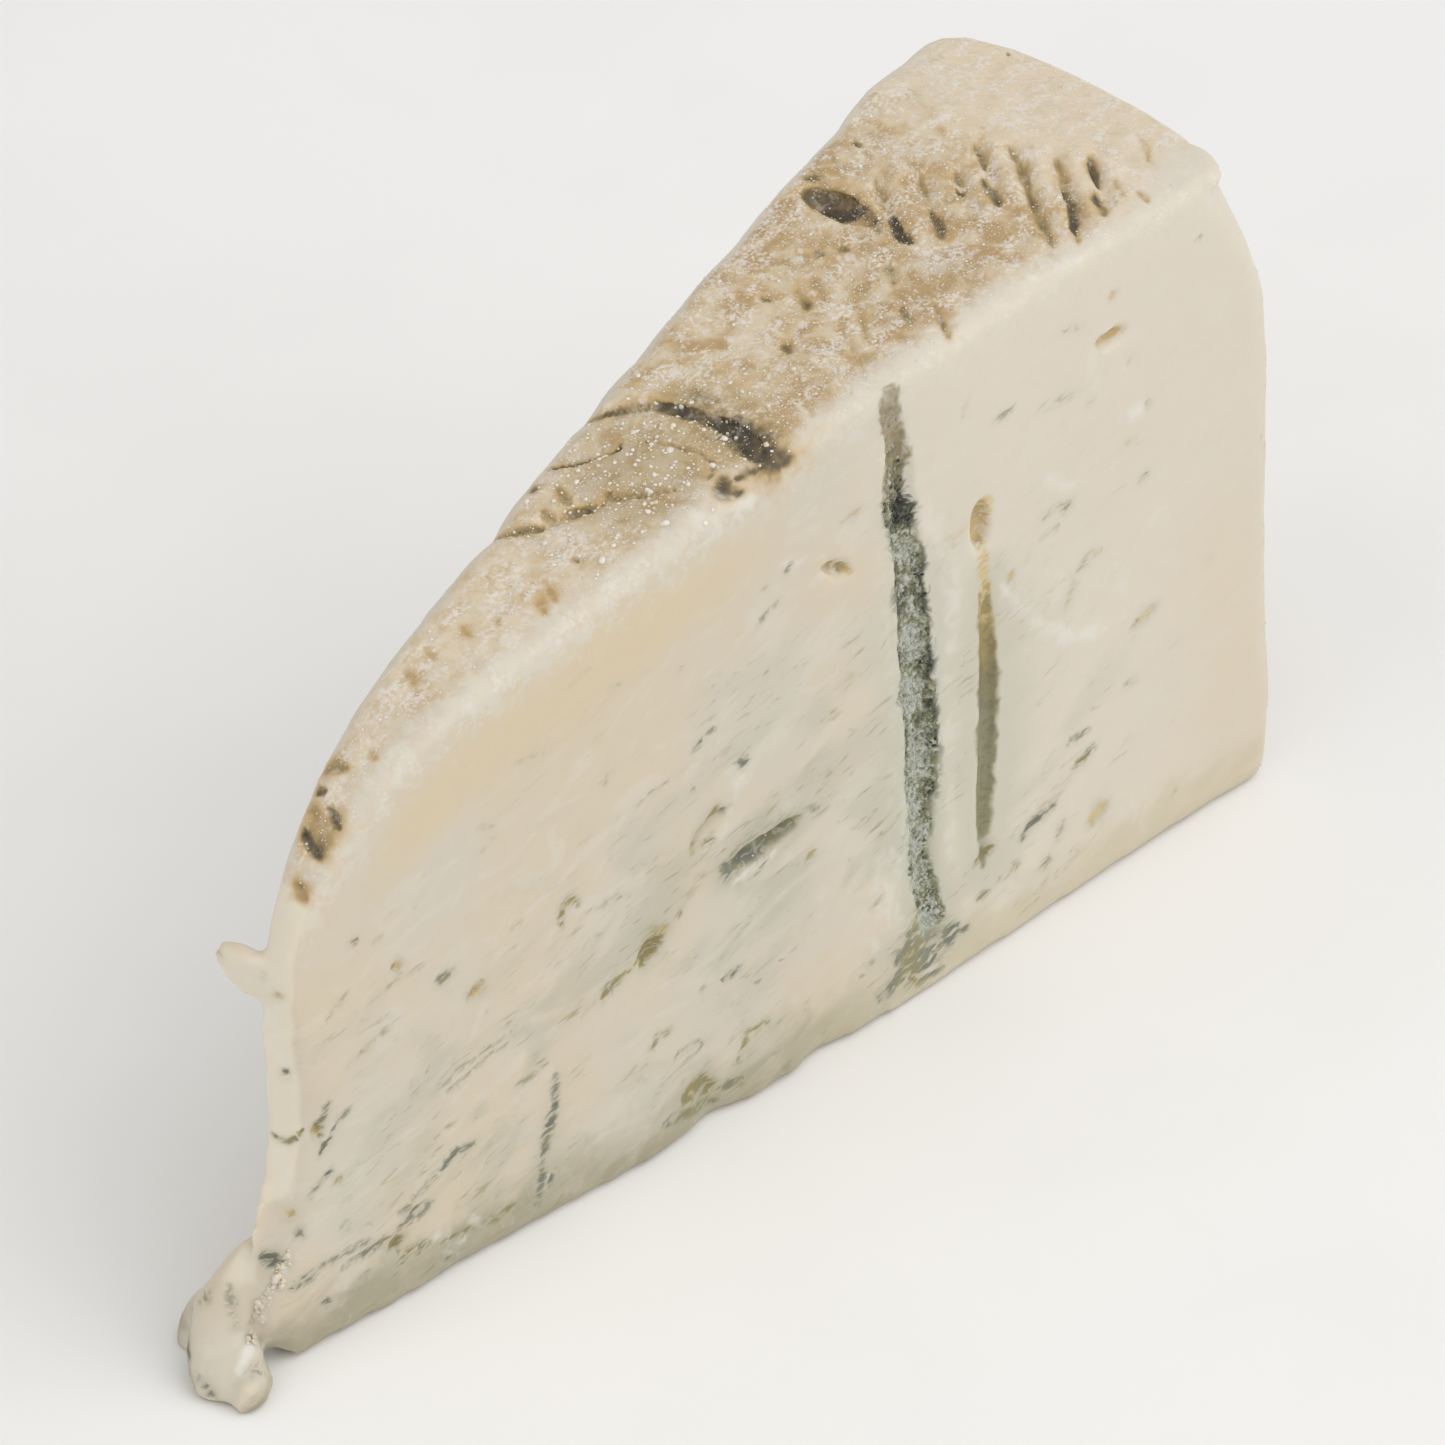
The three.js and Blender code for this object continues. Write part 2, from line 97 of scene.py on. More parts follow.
# Marks of mould, crevices and stains: half-width in mm, strength, tone, and then the path point by point.
# Tones run from 0, blue-black, by 0.25, blue-grey, 0.5, grey-olive, and 0.75, olive-brown, to 1,
# yellow-brown. On the near cut a path goes by distance from the axis and height.
CUT_MARKS = drawn(3, 2, (
    (2.2, 0.7, 0.4, 98.4, 9, 97.6, 6, 96.4, 3.6),
    (1.15, 1, 0.33, 70.4, 29.7, 72.5, 30.2, 74.9, 30.4, 77.4, 30.7, 79.6, 30.8),
    (0.3, 0.6, 0.35, 79.6, 31, 82, 31.2, 84.2, 30.4),
    (0.4, 0.95, 0.65, 66, 34.9, 67, 36.6, 69, 37.8, 70.4, 37.3),
    (0.25, 0.5, 0.6, 66.9, 34.9, 68.9, 34.6), (0.2, 0.6, 0.3, 65.7, 47.4, 69.1, 48.4),
    (0.3, 0.7, 0.15, 71.9, 42.3, 73.7, 42.1), (0.2, 0.35, 0.45, 56.7, 43.6, 59.8, 44.8, 65.1, 45.3),
    (0.3, 0.25, 0.4, 53.7, 49.2, 55.3, 50.5), (0.3, 0.5, 0.75, 65.6, 42.2, 66.2, 42.3),
    (0.25, 0.5, 0.9, 70.1, 44.5, 70.6, 44.5), (0.35, 0.5, 0.75, 81.5, 25, 82.9, 26.2),
    (0.3, 0.55, 0.3, 74.3, 27, 76.5, 28.2), (0.2, 0.45, 0.5, 66.2, 30.9, 67.7, 30.8),
    (0.35, 0.6, 0.7, 53.9, 23.1, 56, 23.8, 58.7, 24.9),
    (0.9, 0.9, 0.68, 59.3, 24.5, 60.4, 26.4, 61.8, 26.8), (0.25, 0.5, 0.6, 63.4, 27.6, 64.8, 28.2),
    (0.3, 0.7, 0.6, 48.2, 35, 48, 37, 49, 37.4, 50.6, 36.8),
    (0.3, 0.35, 0.55, 51, 34.8, 54.6, 34.5, 57.5, 33.7), (0.2, 0.35, 0.5, 58.5, 32.1, 60.8, 32.5),
    (0.25, 0.65, 0.2, 69.7, 16.3, 73.1, 16.3), (0.25, 0.5, 0.65, 67.1, 16.8, 67.4, 16.7),
    (0.2, 0.4, 0.5, 74.2, 13.4, 75.6, 13.7), (0.25, 0.3, 0.3, 68.5, 14.5, 69.7, 15.4),
    (0.3, 0.55, 0.65, 60.1, 13, 61.2, 14, 63.3, 13.8), (0.25, 0.45, 0.6, 63.7, 10.5, 67.6, 9.9),
    (0.2, 0.35, 0.7, 55.5, 16.2, 58.1, 15.7), (0.35, 0.5, 0.55, 71.2, 5.7, 73, 8, 76.1, 8),
    (0.7, 0.9, 0.55, 64, 5, 66.4, 4.9, 68.1, 4), (0.4, 0.6, 0.4, 68.1, 4, 70, 3.4, 72, 3.6),
    (0.5, 0.6, 0.4, 60.6, 3.5, 64, 3.2, 68.4, 2), (0.25, 0.25, 0.4, 68.8, 17.9, 70.8, 19.7),
    (0.2, 0.4, 0.85, 84.1, 6.4, 84.5, 6.3), (0.25, 0.3, 0.85, 81.5, 36.2, 84.1, 38.1),
    (0.2, 0.4, 0.7, 85.1, 34, 85.4, 34), (0.25, 0.25, 0.6, 91.2, 37.3, 92.1, 37.6),
    (0.6, 0.8, 0.3, 91, 2.9, 93.2, 3.6, 95.9, 4.3, 98.7, 5.5),
    (0.5, 0.7, 0.25, 98.5, 6.8, 101.6, 4.6, 103.8, 4.7),
    (0.35, 0.6, 0.4, 95.9, 2.5, 98, 2.4, 100.2, 2.1), (0.4, 0.8, 0.1, 99.6, 5.3, 102.6, 5.9),
    (0.4, 0.7, 0.15, 96.5, 2.9, 98.6, 3.4, 99.3, 4.5), (0.5, 0.7, 0.25, 93.9, 5.8, 95.7, 6.3, 97.9, 5.9),
    (0.3, 0.35, 0.6, 89.3, 7.4, 90.9, 7.5), (0.3, 0.3, 0.55, 90.6, 13.8, 92.3, 14.8),
    (0.2, 0.3, 0.5, 94.4, 18.7, 96.3, 18.5), (0.3, 0.45, 0.95, 86.1, 64, 88.6, 64.7),
    (0.25, 0.35, 0.55, 113.3, 50.1, 115.9, 50.7, 118.4, 50.9), (0.3, 0.5, 0.65, 117.4, 50, 119, 50.5),
    (0.3, 0.25, 0.45, 114.4, 48, 117.5, 48.6), (0.35, 0.4, 0.65, 119.7, 41.2, 121.7, 42.4, 123.8, 42.2),
    (0.4, 0.25, 0.5, 118.2, 37.4, 119.3, 40.5), (0.3, 0.75, 0.9, 109.9, 45.3, 110.4, 45.9),
    (0.2, 0.35, 0.85, 112, 46.5, 113, 46.8), (0.35, 0.6, 0.9, 128.3, 30.1, 130, 30.6, 131.6, 30.8),
    (0.3, 0.35, 0.85, 126.8, 23.1, 129.1, 23.3), (0.3, 0.5, 0.25, 118.7, 19.6, 120.4, 19.9, 121.9, 20.2),
    (0.35, 0.6, 0.35, 120.1, 16.4, 121.5, 16.9, 123, 17.8), (0.3, 0.35, 0.85, 86.3, 44.6, 88.1, 44.7),
    (0.2, 0.35, 0.35, 86.2, 49, 89.3, 49.4), (0.3, 0.35, 0.45, 128.7, 47.7, 130, 48.9),
    (0.2, 0.35, 0.7, 125.5, 54, 128.1, 53.8), (0.25, 0.45, 0.4, 106.9, 65.8, 108.6, 66.1, 110.2, 66.3),
    (0.4, 0.25, 0.35, 113.9, 64.5, 119.6, 63.5), (0.25, 0.35, 0.9, 117, 60.7, 117.4, 60.7),
    (0.2, 0.4, 0.85, 102.9, 68.9, 103.3, 70.5), (0.25, 0.6, 0.85, 129, 57.1, 129.6, 57.2),
    (0.3, 0.3, 0.9, 138.8, 32.3, 139.8, 33.2), (0.3, 0.25, 0.8, 127.3, 15.9, 128.7, 16.1),
    (0.12, 0.8, 0.2, 99.1, 55, 99.2, 55), (0.24, 1, 0, 78.6, 62, 78.9, 62.4),
    (0.3, 0.3, 0.95, 100.4, 54.9, 102.6, 54.7), (0.4, 0.35, 0.9, 102.5, 54.7, 104.1, 55.1),
    (0.3, 0.75, 0.15, 112.1, 11.2, 113.6, 12.4, 115.3, 12.9, 117.2, 12.9),
    (0.3, 0.45, 0.85, 114.9, 13.9, 116, 14.3), (0.4, 0.4, 0.25, 117.5, 8.8, 118.6, 10.7),
    (0.5, 0.95, 0.98, 122.8, 8.2, 123.7, 8.7, 124.6, 9), (0.4, 0.5, 0.45, 115, 6.3, 116.5, 7),
    (0.3, 0.45, 0.6, 110.5, 7.8, 112, 8.3), (0.3, 0.45, 0.4, 114.9, 3.7, 115.8, 4.5),
    (0.3, 0.3, 0.45, 119.3, 5.7, 121.1, 5.7), (0.3, 0.25, 0.6, 134.7, 4.9, 135.6, 5.5),
    (0.4, 0.75, 0.55, 106, 12, 107, 12.3, 108.1, 12.3), (0.35, 0.5, 0.65, 105.5, 7.3, 107.4, 7.4),
    (0.3, 0.5, 0.6, 84.3, 34.1, 85, 34.3), (0.3, 0.25, 0.5, 101.7, 12.8, 102.8, 13.2),
    (0.25, 0.55, 0.5, 20.6, 47.7, 21.9, 47.7), (0.2, 0.4, 0.9, 23.4, 46.7, 24.6, 46.4),
    (0.4, 0.85, 0.7, 26.2, 41.9, 26.8, 41.9), (0.2, 0.45, 0.4, 22.3, 39.5, 26.4, 40.4, 30, 40.1),
    (0.25, 0.35, 0.3, 17.5, 39.9, 20.1, 42.2), (0.45, 0.8, 0.5, 31.7, 37.1, 32.7, 36.9, 33.4, 37.1),
    (0.35, 0.7, 0.7, 35.6, 33.1, 37.1, 32.9, 37.7, 33.7),
    (0.2, 0.5, 0.5, 19.9, 33.1, 22.5, 34, 25.1, 34.7), (0.2, 0.4, 0.4, 15.9, 36.8, 17.2, 37.2),
    (0.25, 0.5, 0.6, 27.6, 26.3, 28.8, 26.5), (0.2, 0.45, 0.5, 30.9, 23.6, 35, 24.8, 41.7, 25.5),
    (0.2, 0.45, 0.5, 29.7, 22.3, 33.8, 23.2, 38.1, 24.2, 43.6, 24.5),
    (0.2, 0.35, 0.5, 29.5, 17.6, 34.4, 18.9), (0.2, 0.4, 0.5, 40.8, 18, 44.2, 18.5, 47.1, 19.1),
    (0.2, 0.4, 0.55, 32.7, 30.8, 34.3, 30.7), (0.2, 0.25, 0.5, 48, 29.4, 53.5, 31.5),
    (0.35, 0.6, 0.65, 53.4, 22.4, 54, 23.8, 55.9, 24), (0.2, 0.4, 0.9, 39.5, 15.2, 39.9, 15.2),
    (0.5, 0.45, 0.2, 47.1, 16.9, 46.9, 13.8), (0.5, 0.65, 0.15, 46.9, 13.8, 46.1, 11.1, 45.3, 8.1),
    (0.4, 0.55, 0.15, 45.3, 8.1, 44.5, 5.2, 44, 2.4), (0.25, 0.6, 0.1, 45.3, 8.1, 45.9, 10),
    (0.4, 0.5, 0.2, 45.9, 5.1, 45.3, 4), (0.25, 0.75, 0.35, 31.8, 13.4, 33.5, 14.4, 36.7, 14.6),
    (0.25, 0.5, 0.3, 26.3, 11.3, 29.4, 12.5, 32.4, 13.7), (0.8, 0.45, 0.25, 26, 9.5, 28, 10.1, 30, 10.1),
    (0.35, 0.6, 0.25, 26.7, 10.6, 28.4, 10.9), (0.7, 0.95, 0.6, 25.4, 7.5, 26.1, 7.5),
    (0.3, 0.6, 0.3, 18.7, 8.7, 22.8, 9, 26.2, 9.1), (0.3, 0.5, 0.3, 13.5, 10, 17.7, 10.3, 22.2, 10),
    (0.35, 0.65, 0.35, 12.4, 9.2, 13.6, 9.6, 15.2, 9.6), (0.35, 0.75, 0.35, 16.4, 5.3, 17.2, 5.1),
    (0.3, 0.7, 0.3, 21.1, 6, 22, 6.2), (0.7, 0.55, 0.45, 25.8, 5.3, 27.8, 5.7, 29.8, 5.8),
    (0.5, 0.6, 0.5, 31.8, 4.3, 33.6, 4.4, 35.4, 4.2), (0.5, 0.5, 0.5, 37.4, 4, 39.2, 4, 40.9, 4),
    (0.3, 0.5, 0.35, 31, 2.3, 33.1, 2), (0.4, 0.35, 0.3, 18.4, 13.4, 20, 13.6),
    (0.25, 0.6, 0.3, 16.7, 27, 17.5, 29.8), (0.25, 0.55, 0.25, 17.4, 25.4, 18.8, 26.7, 20.4, 27.8),
    (0.25, 0.7, 0.15, 16, 24.1, 17, 24.9, 17.6, 25.5), (0.25, 0.7, 0.1, 17.1, 20.8, 17.7, 21.6),
    (0.25, 0.75, 0.7, 17.9, 19.5, 18.9, 19.8), (0.3, 0.45, 0.3, 14.8, 19.5, 16.8, 21.1),
    (0.2, 0.4, 0.3, 18.5, 16.5, 20.6, 17), (0.5, 0.5, 0.85, 12.8, 17.5, 13.2, 17.9),
    (0.5, 0.95, 0.05, 10.2, 13.6, 10.8, 13, 11.6, 12.5), (0.13, 0.6, 0.35, 135.6, 73.9, 136.5, 74.1),
    (0.25, 0.5, 0.9, 123.3, 72.9, 124.6, 73), (0.25, 0.3, 0.3, 116.1, 72.1, 118.1, 72, 120, 70.9),
    (0.3, 0.35, 0.75, 120.3, 61.3, 121.7, 61.5), (0.2, 0.4, 0.4, 75.3, 61.6, 76.3, 61.7),
    (0.2, 0.45, 0.45, 72.9, 56.3, 75.9, 58.3, 78.3, 59.6), (0.2, 0.4, 0.5, 75.3, 51.1, 77.2, 51.5),
    (0.35, 0.25, 0.35, 63.9, 57.7, 65.1, 58.1), (0.3, 0.25, 0.8, 67.7, 53.3, 68.8, 53.7),
    (0.3, 0.25, 0.4, 54.2, 60.4, 57, 60.2), (0.25, 0.3, 0.5, 37.1, 52.8, 39.6, 51.9),
    (0.2, 0.3, 0.55, 38.1, 50.3, 40.6, 50.4), (0.5, 0.22, 0.3, 42.2, 57.9, 46.8, 57.4),
    (0.25, 0.35, 0.45, 53.4, 49.2, 55.4, 50), (0.2, 0.25, 0.8, 51.5, 55.8, 54.5, 55.2),
    (0.25, 0.3, 0.75, 50.3, 43.5, 52.8, 44.4), (0.2, 0.4, 0.85, 50.6, 42.1, 51.1, 42.1),
    (0.2, 0.3, 0.55, 54.1, 39.6, 55.5, 39.6), (0.2, 0.4, 0.5, 46.5, 33.1, 47.6, 33.6),
    (0.2, 0.3, 0.5, 28.5, 47.6, 30, 47.8), (0.2, 0.3, 0.5, 41.5, 38.2, 43.5, 38.2),
    (0.2, 0.3, 0.45, 36.2, 49.5, 38.8, 49.8),
))
# On the rind a path goes by plan, from the wheel's axis.
RIND_MARKS = drawn(3, 2, (
    (0.6, 0.8, 0.95, 16.8, 0.1, 16.5, -0.7, 16.3, -1.2), (0.3, 0.9, 0.6, 16.9, -0.1, 16.8, -0.3),
    (0.5, 1, 0.15, 20, 1.9, 19.4, 0.5, 18.8, -1), (0.5, 0.9, 0.3, 22.8, 2.4, 23.2, 2),
    (0.5, 0.9, 0.3, 21.9, 0.3, 21.3, -0.8, 21.1, -1.4),
    (0.9, 0.75, 0.85, 21.2, 1.9, 20.4, -0.1, 19.2, -1),
    (0.6, 0.7, 0.75, 24.7, 3.5, 25.2, 2.3, 25.3, 1.1),
    (1.7, 1, 0.1, 79.1, -2.2, 78.7, -4.8, 78.2, -7, 77.5, -9.3),
    (3.2, 0.45, 0.4, 79.6, 3, 79.5, -1.5, 78.4, -6.5, 76.8, -9.6),
    (1.3, 0.9, 0.2, 77.5, -9.3, 78.4, -10.7), (0.5, 0.6, 0.5, 73.2, 9.6, 74.1, 8.4),
    (0.7, 0.75, 0.2, 72.6, -9.9, 71.2, -8.7, 72.5, -7.4),
    (0.5, 0.7, 0.15, 73.1, -8.5, 74.8, -9, 76.9, -9.9),
    (0.22, 1, 0.3, 65.2, 8.4, 66.6, 6.1, 68.7, 4.7, 71.4, 3.8, 73.1, 2),
    (0.2, 0.6, 0.5, 73.1, 2, 73.8, -0.5, 73.6, -3.8), (0.3, 0.85, 0.7, 55.9, 7.3, 57, 5.2, 58.9, 3.6),
    (0.5, 0.95, 0.65, 60.4, 2.8, 61.6, 2, 62.9, 1.3),
    (0.25, 0.8, 0.65, 62.9, 1.3, 64.9, 0.2, 67.3, -2, 68.7, -4.5),
    (0.4, 0.8, 0.7, 63.1, 5.2, 62.1, 3.6, 61.6, 2.3), (0.35, 0.7, 0.65, 64.4, 0.5, 65, 0.3),
    (0.5, 0.6, 0.25, 61.6, 7.8, 62.1, 7.1),
    (0.2, 0.6, 0.4, 74.5, -0.6, 74.4, -3.2, 73.4, -5.5, 71.5, -6.5),
    (0.25, 0.75, 0.9, 56.4, -1.6, 56.7, -2.4), (0.5, 0.5, 0.95, 50.4, -2.5, 49.3, -4),
    (0.4, 0.45, 0.9, 46, -0.5, 45.6, -1.5), (0.5, 0.45, 0.92, 43.5, 1.5, 43, 0.3),
    (0.5, 0.55, 0.95, 39.4, 2.5, 39, 1.3), (0.5, 0.6, 0.92, 36.3, 2.3, 35.4, 0.8),
    (0.4, 0.4, 0.95, 27.6, -0.1, 27.2, -1.2), (0.5, 0.4, 0.9, 52.3, -1.6, 51.1, -3.8),
    (0.4, 0.95, 0.45, 132.2, -7.2, 130.8, -8.7, 129.1, -10.4), (0.5, 1, 0.1, 127.5, -11.5, 126.3, -12.6),
    (0.4, 0.7, 0.6, 126.3, -12.6, 125.4, -14), (0.4, 0.6, 0.8, 129.9, -4.6, 128.1, -6.8, 126.5, -8.5),
    (0.45, 0.9, 0.25, 126.5, -8.5, 124.5, -10.7, 121.4, -13.6),
    (0.3, 0.6, 0.8, 121.4, -13.6, 120.5, -14.7), (0.4, 0.75, 0.75, 128.5, 0, 126.7, -2.9, 124.4, -5.6),
    (0.4, 0.8, 0.6, 124.4, -5.6, 122.1, -8.5, 118.9, -12.4), (0.3, 0.6, 0.5, 118.9, -11.9, 118.2, -13.2),
    (0.35, 0.8, 0.5, 127.1, 3.2, 125.7, 1.4, 124.7, 0.2),
    (0.5, 0.85, 0.35, 122.7, -1.1, 121.6, -2.9, 120.5, -4.8), (0.5, 0.95, 0.2, 119.9, 0, 119.8, -0.6),
    (0.4, 0.6, 0.6, 122.7, 2.4, 121.2, 0.5), (0.4, 0.5, 0.7, 117.1, -3.3, 116.8, -4.6),
    (0.4, 0.6, 0.7, 119.4, 4.6, 117.3, 2), (0.4, 0.85, 0.5, 116, 0.5, 114.7, -1.5, 112.7, -3.6),
    (0.4, 0.55, 0.75, 116.2, 7.5, 114.9, 5.2), (0.55, 1, 0.1, 113, 3, 111.5, 0.6, 110.4, -1.5),
    (0.8, 1, 0.2, 111.4, 10.1, 111.7, 8.2, 112.5, 6.8),
    (1, 0.9, 0.45, 111.2, 12.2, 112.4, 10.3, 112.9, 7.9), (0.6, 0.8, 0.35, 112.9, 13.7, 113.4, 12.6),
    (0.8, 0.7, 0.6, 112.7, 6.8, 111.7, 4.5, 110.1, 2.2), (0.6, 0.7, 0.45, 105.7, 3.9, 106, 2.9),
    (0.5, 0.7, 0.6, 103.9, 5.6, 104.1, 4.9), (0.7, 0.45, 0.7, 114.2, 14, 112.9, 10.7),
    (0.4, 0.75, 0.3, 120.2, 13.1, 120, 12.4), (0.4, 0.4, 0.7, 119.5, 11.3, 118.8, 10),
    (0.5, 0.85, 0.35, 97.7, 2.2, 96.9, 1.1), (0.4, 0.7, 0.45, 90.7, -1, 90.7, -1.6),
    (0.5, 0.8, 0.25, 91.3, -0.4, 90.7, -1.6), (0.5, 0.7, 0.3, 95.7, 5.6, 95.7, 5.1),
    (0.6, 0.55, 0.45, 106.2, -1.8, 105, -3.4), (0.5, 0.6, 0.35, 101.9, -6.7, 100.6, -8.8),
    (0.4, 0.6, 0.4, 103.9, -9.2, 101.5, -12.3), (0.5, 0.4, 0.7, 103.6, -10, 101.1, -13.1),
    (0.4, 0.5, 0.85, 100.5, -2, 98.6, -4.4, 96, -6.9),
    (0.3, 0.4, 0.85, 96.2, -4.1, 93.6, -7.7, 92.2, -9.6), (0.4, 0.35, 0.9, 85.9, -6.5, 84.3, -9.6),
    (0.6, 0.5, 0.85, 98.6, 3.6, 97.1, 1.4), (0.5, 0.45, 0.75, 100.9, 3.3, 98.9, 0.5),
    (0.4, 0.4, 0.85, 130.5, -11.6, 129, -13.7), (0.35, 0.4, 0.85, 130.5, -14.2, 130.1, -16),
    (0.4, 0.35, 0.85, 138.6, -8.7, 135.5, -12.2), (0.12, 0.8, 0.8, 142.3, 11, 142.5, 10.8),
))
# On the nose, the foot and the edges a path is in space, from the foot of the wheel's axis.
EDGE_MARKS = drawn(3, 3, (
    (0.45, 1, 0.72, 16, -1.7, 26.9, 16.5, -2, 26.8),
    (0.16, 0.8, 0.5, 13.1, 1.4, 26.8, 13.3, 0.6, 26.3, 13.7, -0.4, 26.3, 14.2, -1, 26.8, 14.6, -1.4, 27.4),
    (0.3, 0.9, 0.2, 13.5, -1.4, 15.5, 13.9, -1.8, 15), (0.18, 0.8, 0.1, 13.6, 0.1, 35, 13.9, -0.6, 34.9),
    (0.4, 0.3, 0.8, 13.7, 0.1, 34.3, 14, -0.6, 33.9),
    (0.4, 0.9, 0.05, 5.3, 5.9, 5, 4.4, 5.7, 3.7, 3.5, 4.4, 3.3),
    (0.6, 0.4, 0.35, 6.5, 5.3, 7.7, 7.4, 4.5, 9.2),
    (0.35, 0.7, 0.2, 2.7, 2.2, 2.3, 2.5, 0.9, 1.6, 2.9, -0.1, 0.8),
    (0.6, 0.4, 0.3, 4.6, -1.9, 2.3, 6.2, -2, 2.9, 7.3, -1.8, 3.4),
    (0.5, 0.35, 0.45, 7.9, 2.7, 9.9, 7.5, 1.9, 8.1, 7.2, 1.3, 6.5),
    (0.3, 0.7, 0.2, 8, 0.4, 5.8, 7.9, -0.1, 5.1, 7.8, -0.6, 4.6),
    (0.4, 0.45, 0.95, 13.1, 6.8, 46.6, 12.8, 6.2, 46.4),
    (0.5, 0.4, 0.95, 13, 1.6, 46.7, 13.1, 0.9, 46.5),
    (0.4, 0.5, 0.85, 13.1, 0.2, 44.4, 13.2, -0.5, 44.6),
))
# Soil in the folds of the rind, where a fold would hide it from above, given in space as well.
FOLD_MARKS = drawn(3, 3, (
    (0.7, 0.9, 0.15, 77.8, 4.6, 75.3, 78.8, 1.5, 75.1, 78.9, -2.4, 75.1),
    (0.4, 0.75, 0.3, 73.8, 8.8, 74.4, 75.7, 7.2, 74.5, 77.8, 4.6, 75.3),
    (0.4, 0.75, 0.7, 59.8, 4.7, 72.8, 59.6, 3.7, 72.6, 60, 3.2, 72.2),
))
# The torn edge of the smear at the foot of the nose: half-width, strength and path in space.
TORN_EDGE = drawn(2, 3, (
    (0.6, 0.8, 12.4, -1.1, 13.6, 11.4, -0.6, 11, 10.6, -0.2, 9.5, 9.6, 0.6, 7.3),
    (0.5, 0.9, 9.6, 0.6, 7.3, 9, 0.7, 5.8, 7.7, 0, 4.8),
))
# Chalky white places, in the same three ways: half-width, strength and path.
CUT_CHALK = drawn(2, 2, (
    (0.6, 0.6, 108.9, 44.9, 111.5, 41.2, 114.6, 37.1),
    (0.6, 0.8, 114.6, 37.1, 117.4, 34.7, 119.9, 33, 124.1, 32.2),
    (0.6, 0.35, 124.1, 32.2, 126.9, 32.6, 125.9, 39.6), (1, 0.45, 101.4, 52.1, 101.8, 47, 101.6, 40.8),
    (0.8, 0.4, 100.9, 41.2, 101.5, 27.1, 102, 14.1), (0.7, 0.35, 91.5, 57.1, 93, 49, 93.6, 38.8),
    (0.6, 0.3, 93.6, 38.8, 94, 26, 95.6, 18.8), (0.6, 0.5, 93.8, 19.8, 94.6, 16.2),
    (0.7, 0.6, 114.7, 55.2, 117.6, 53.1, 119.8, 52.9),
    (0.8, 0.35, 114.3, 45.5, 117.2, 41.5, 116.7, 39.3), (0.4, 0.8, 128.3, 56.7, 128.7, 57),
    (0.5, 0.5, 124.1, 51.7, 124.7, 52.4), (0.5, 0.5, 130.2, 42.4, 132.4, 42.6),
    (0.6, 0.5, 127.7, 57.6, 128.3, 56.3), (0.5, 0.4, 128.2, 58.3, 127.7, 56.3),
    (0.6, 1, 126.9, 57.6, 128.4, 56.8), (0.5, 0.7, 71.7, 27.9, 74.4, 27.9, 77.2, 28.4),
    (0.5, 0.4, 69.1, 34.3, 71.7, 37.9), (0.6, 0.35, 65.5, 44.9, 68.2, 45.9, 70.3, 46.6),
    (0.7, 0.6, 71.7, 38.5, 72.3, 40.6), (0.6, 0.5, 85.7, 58.7, 87.4, 59.2),
    (0.5, 0.45, 77.7, 63.5, 83.2, 61.8), (1, 0.5, 92, 19.5, 92.8, 14, 95.4, 8.9),
    (0.6, 0.6, 97.7, 4.7, 99, 2.8, 97.5, 2.4), (0.5, 0.4, 89.1, 10.9, 93, 7.7),
    (0.4, 0.7, 33.4, 3.5, 34.3, 3.3), (0.6, 0.5, 30.5, 6.1, 33.8, 2.5), (0.5, 0.5, 35.1, 4.7, 36.4, 5.3),
    (0.4, 0.7, 44.3, 4.2, 45.3, 5.4), (0.6, 0.35, 120.8, 66.8, 122.4, 61.2),
    (0.5, 0.3, 126.1, 34.5, 125.2, 40), (0.6, 0.35, 131.4, 2.3, 126.8, 8.6),
))
RIND_CHALK = drawn(2, 2, (
    (0.6, 0.5, 80.2, 1.4, 81.8, 1.2), (0.5, 0.7, 102.2, 6.8, 102.3, 6.2),
    (1, 0.5, 108.2, -5.4, 110.8, -7.1), (0.7, 0.6, 115.1, -13.2, 116.5, -15.3, 118.8, -16),
    (0.5, 0.7, 113.1, -13.8, 113.1, -14.7),
    (0.8, 0.55, 68.4, -6.7, 70.2, -8.9, 71.7, -10.2, 74.4, -10.6), (0.8, 0.5, 67.2, -8.2, 68.4, -9.8),
))
EDGE_CHALK = drawn(2, 3, (
    (0.4, 1, 9.7, 0.3, 6.5, 8.1, -0.4, 5, 6.3, -0.6, 4.1, 4.9, -0.7, 3.2),
    (0.9, 0.45, 94.5, -13, 65.9, 95.2, -13.4, 62, 97.5, -13.9, 57.2, 100.4, -14.3, 52.1),
    (0.6, 0.45, 13, 2.5, 47.5, 13.1, 0.5, 45.4, 13.1, -0.4, 42.7),
    (0.8, 0.5, 12.9, 0.9, 42.2, 13.1, 0.3, 38.8, 13.5, 0.1, 35.5),
    (0.7, 0.45, 13, 0.7, 25, 13.1, -0.4, 22.4, 12.9, -0.8, 19.6),
))
# Veins, where needle holes lined with mould lie open: side, half-width and path by distance and height.
VEINS = drawn(2, 2, (
    (NEAR, 2.3, 92.7, 75.6, 93.6, 71.2, 93.9, 66.6, 93.7, 62, 94.8, 57.8, 95.7, 53.7, 96.3, 48.6, 97, 40.9,
     97.2, 36.8, 97.7, 32.5, 97.7, 28.6, 97.9, 24, 97.9, 19.5, 97.9, 15.6, 98.6, 11.6, 99.4, 8),
    (NEAR, 1.35, 106.4, 46.2, 106.8, 41.4, 107.2, 36.7, 107.1, 28.5, 107.2, 23.7, 107.1, 17.6, 106.8, 11.2),
    (FAR, 1.8, 70.5, 66, 71.2, 55, 71.6, 45, 71.3, 34, 71, 24, 71.8, 8),
))
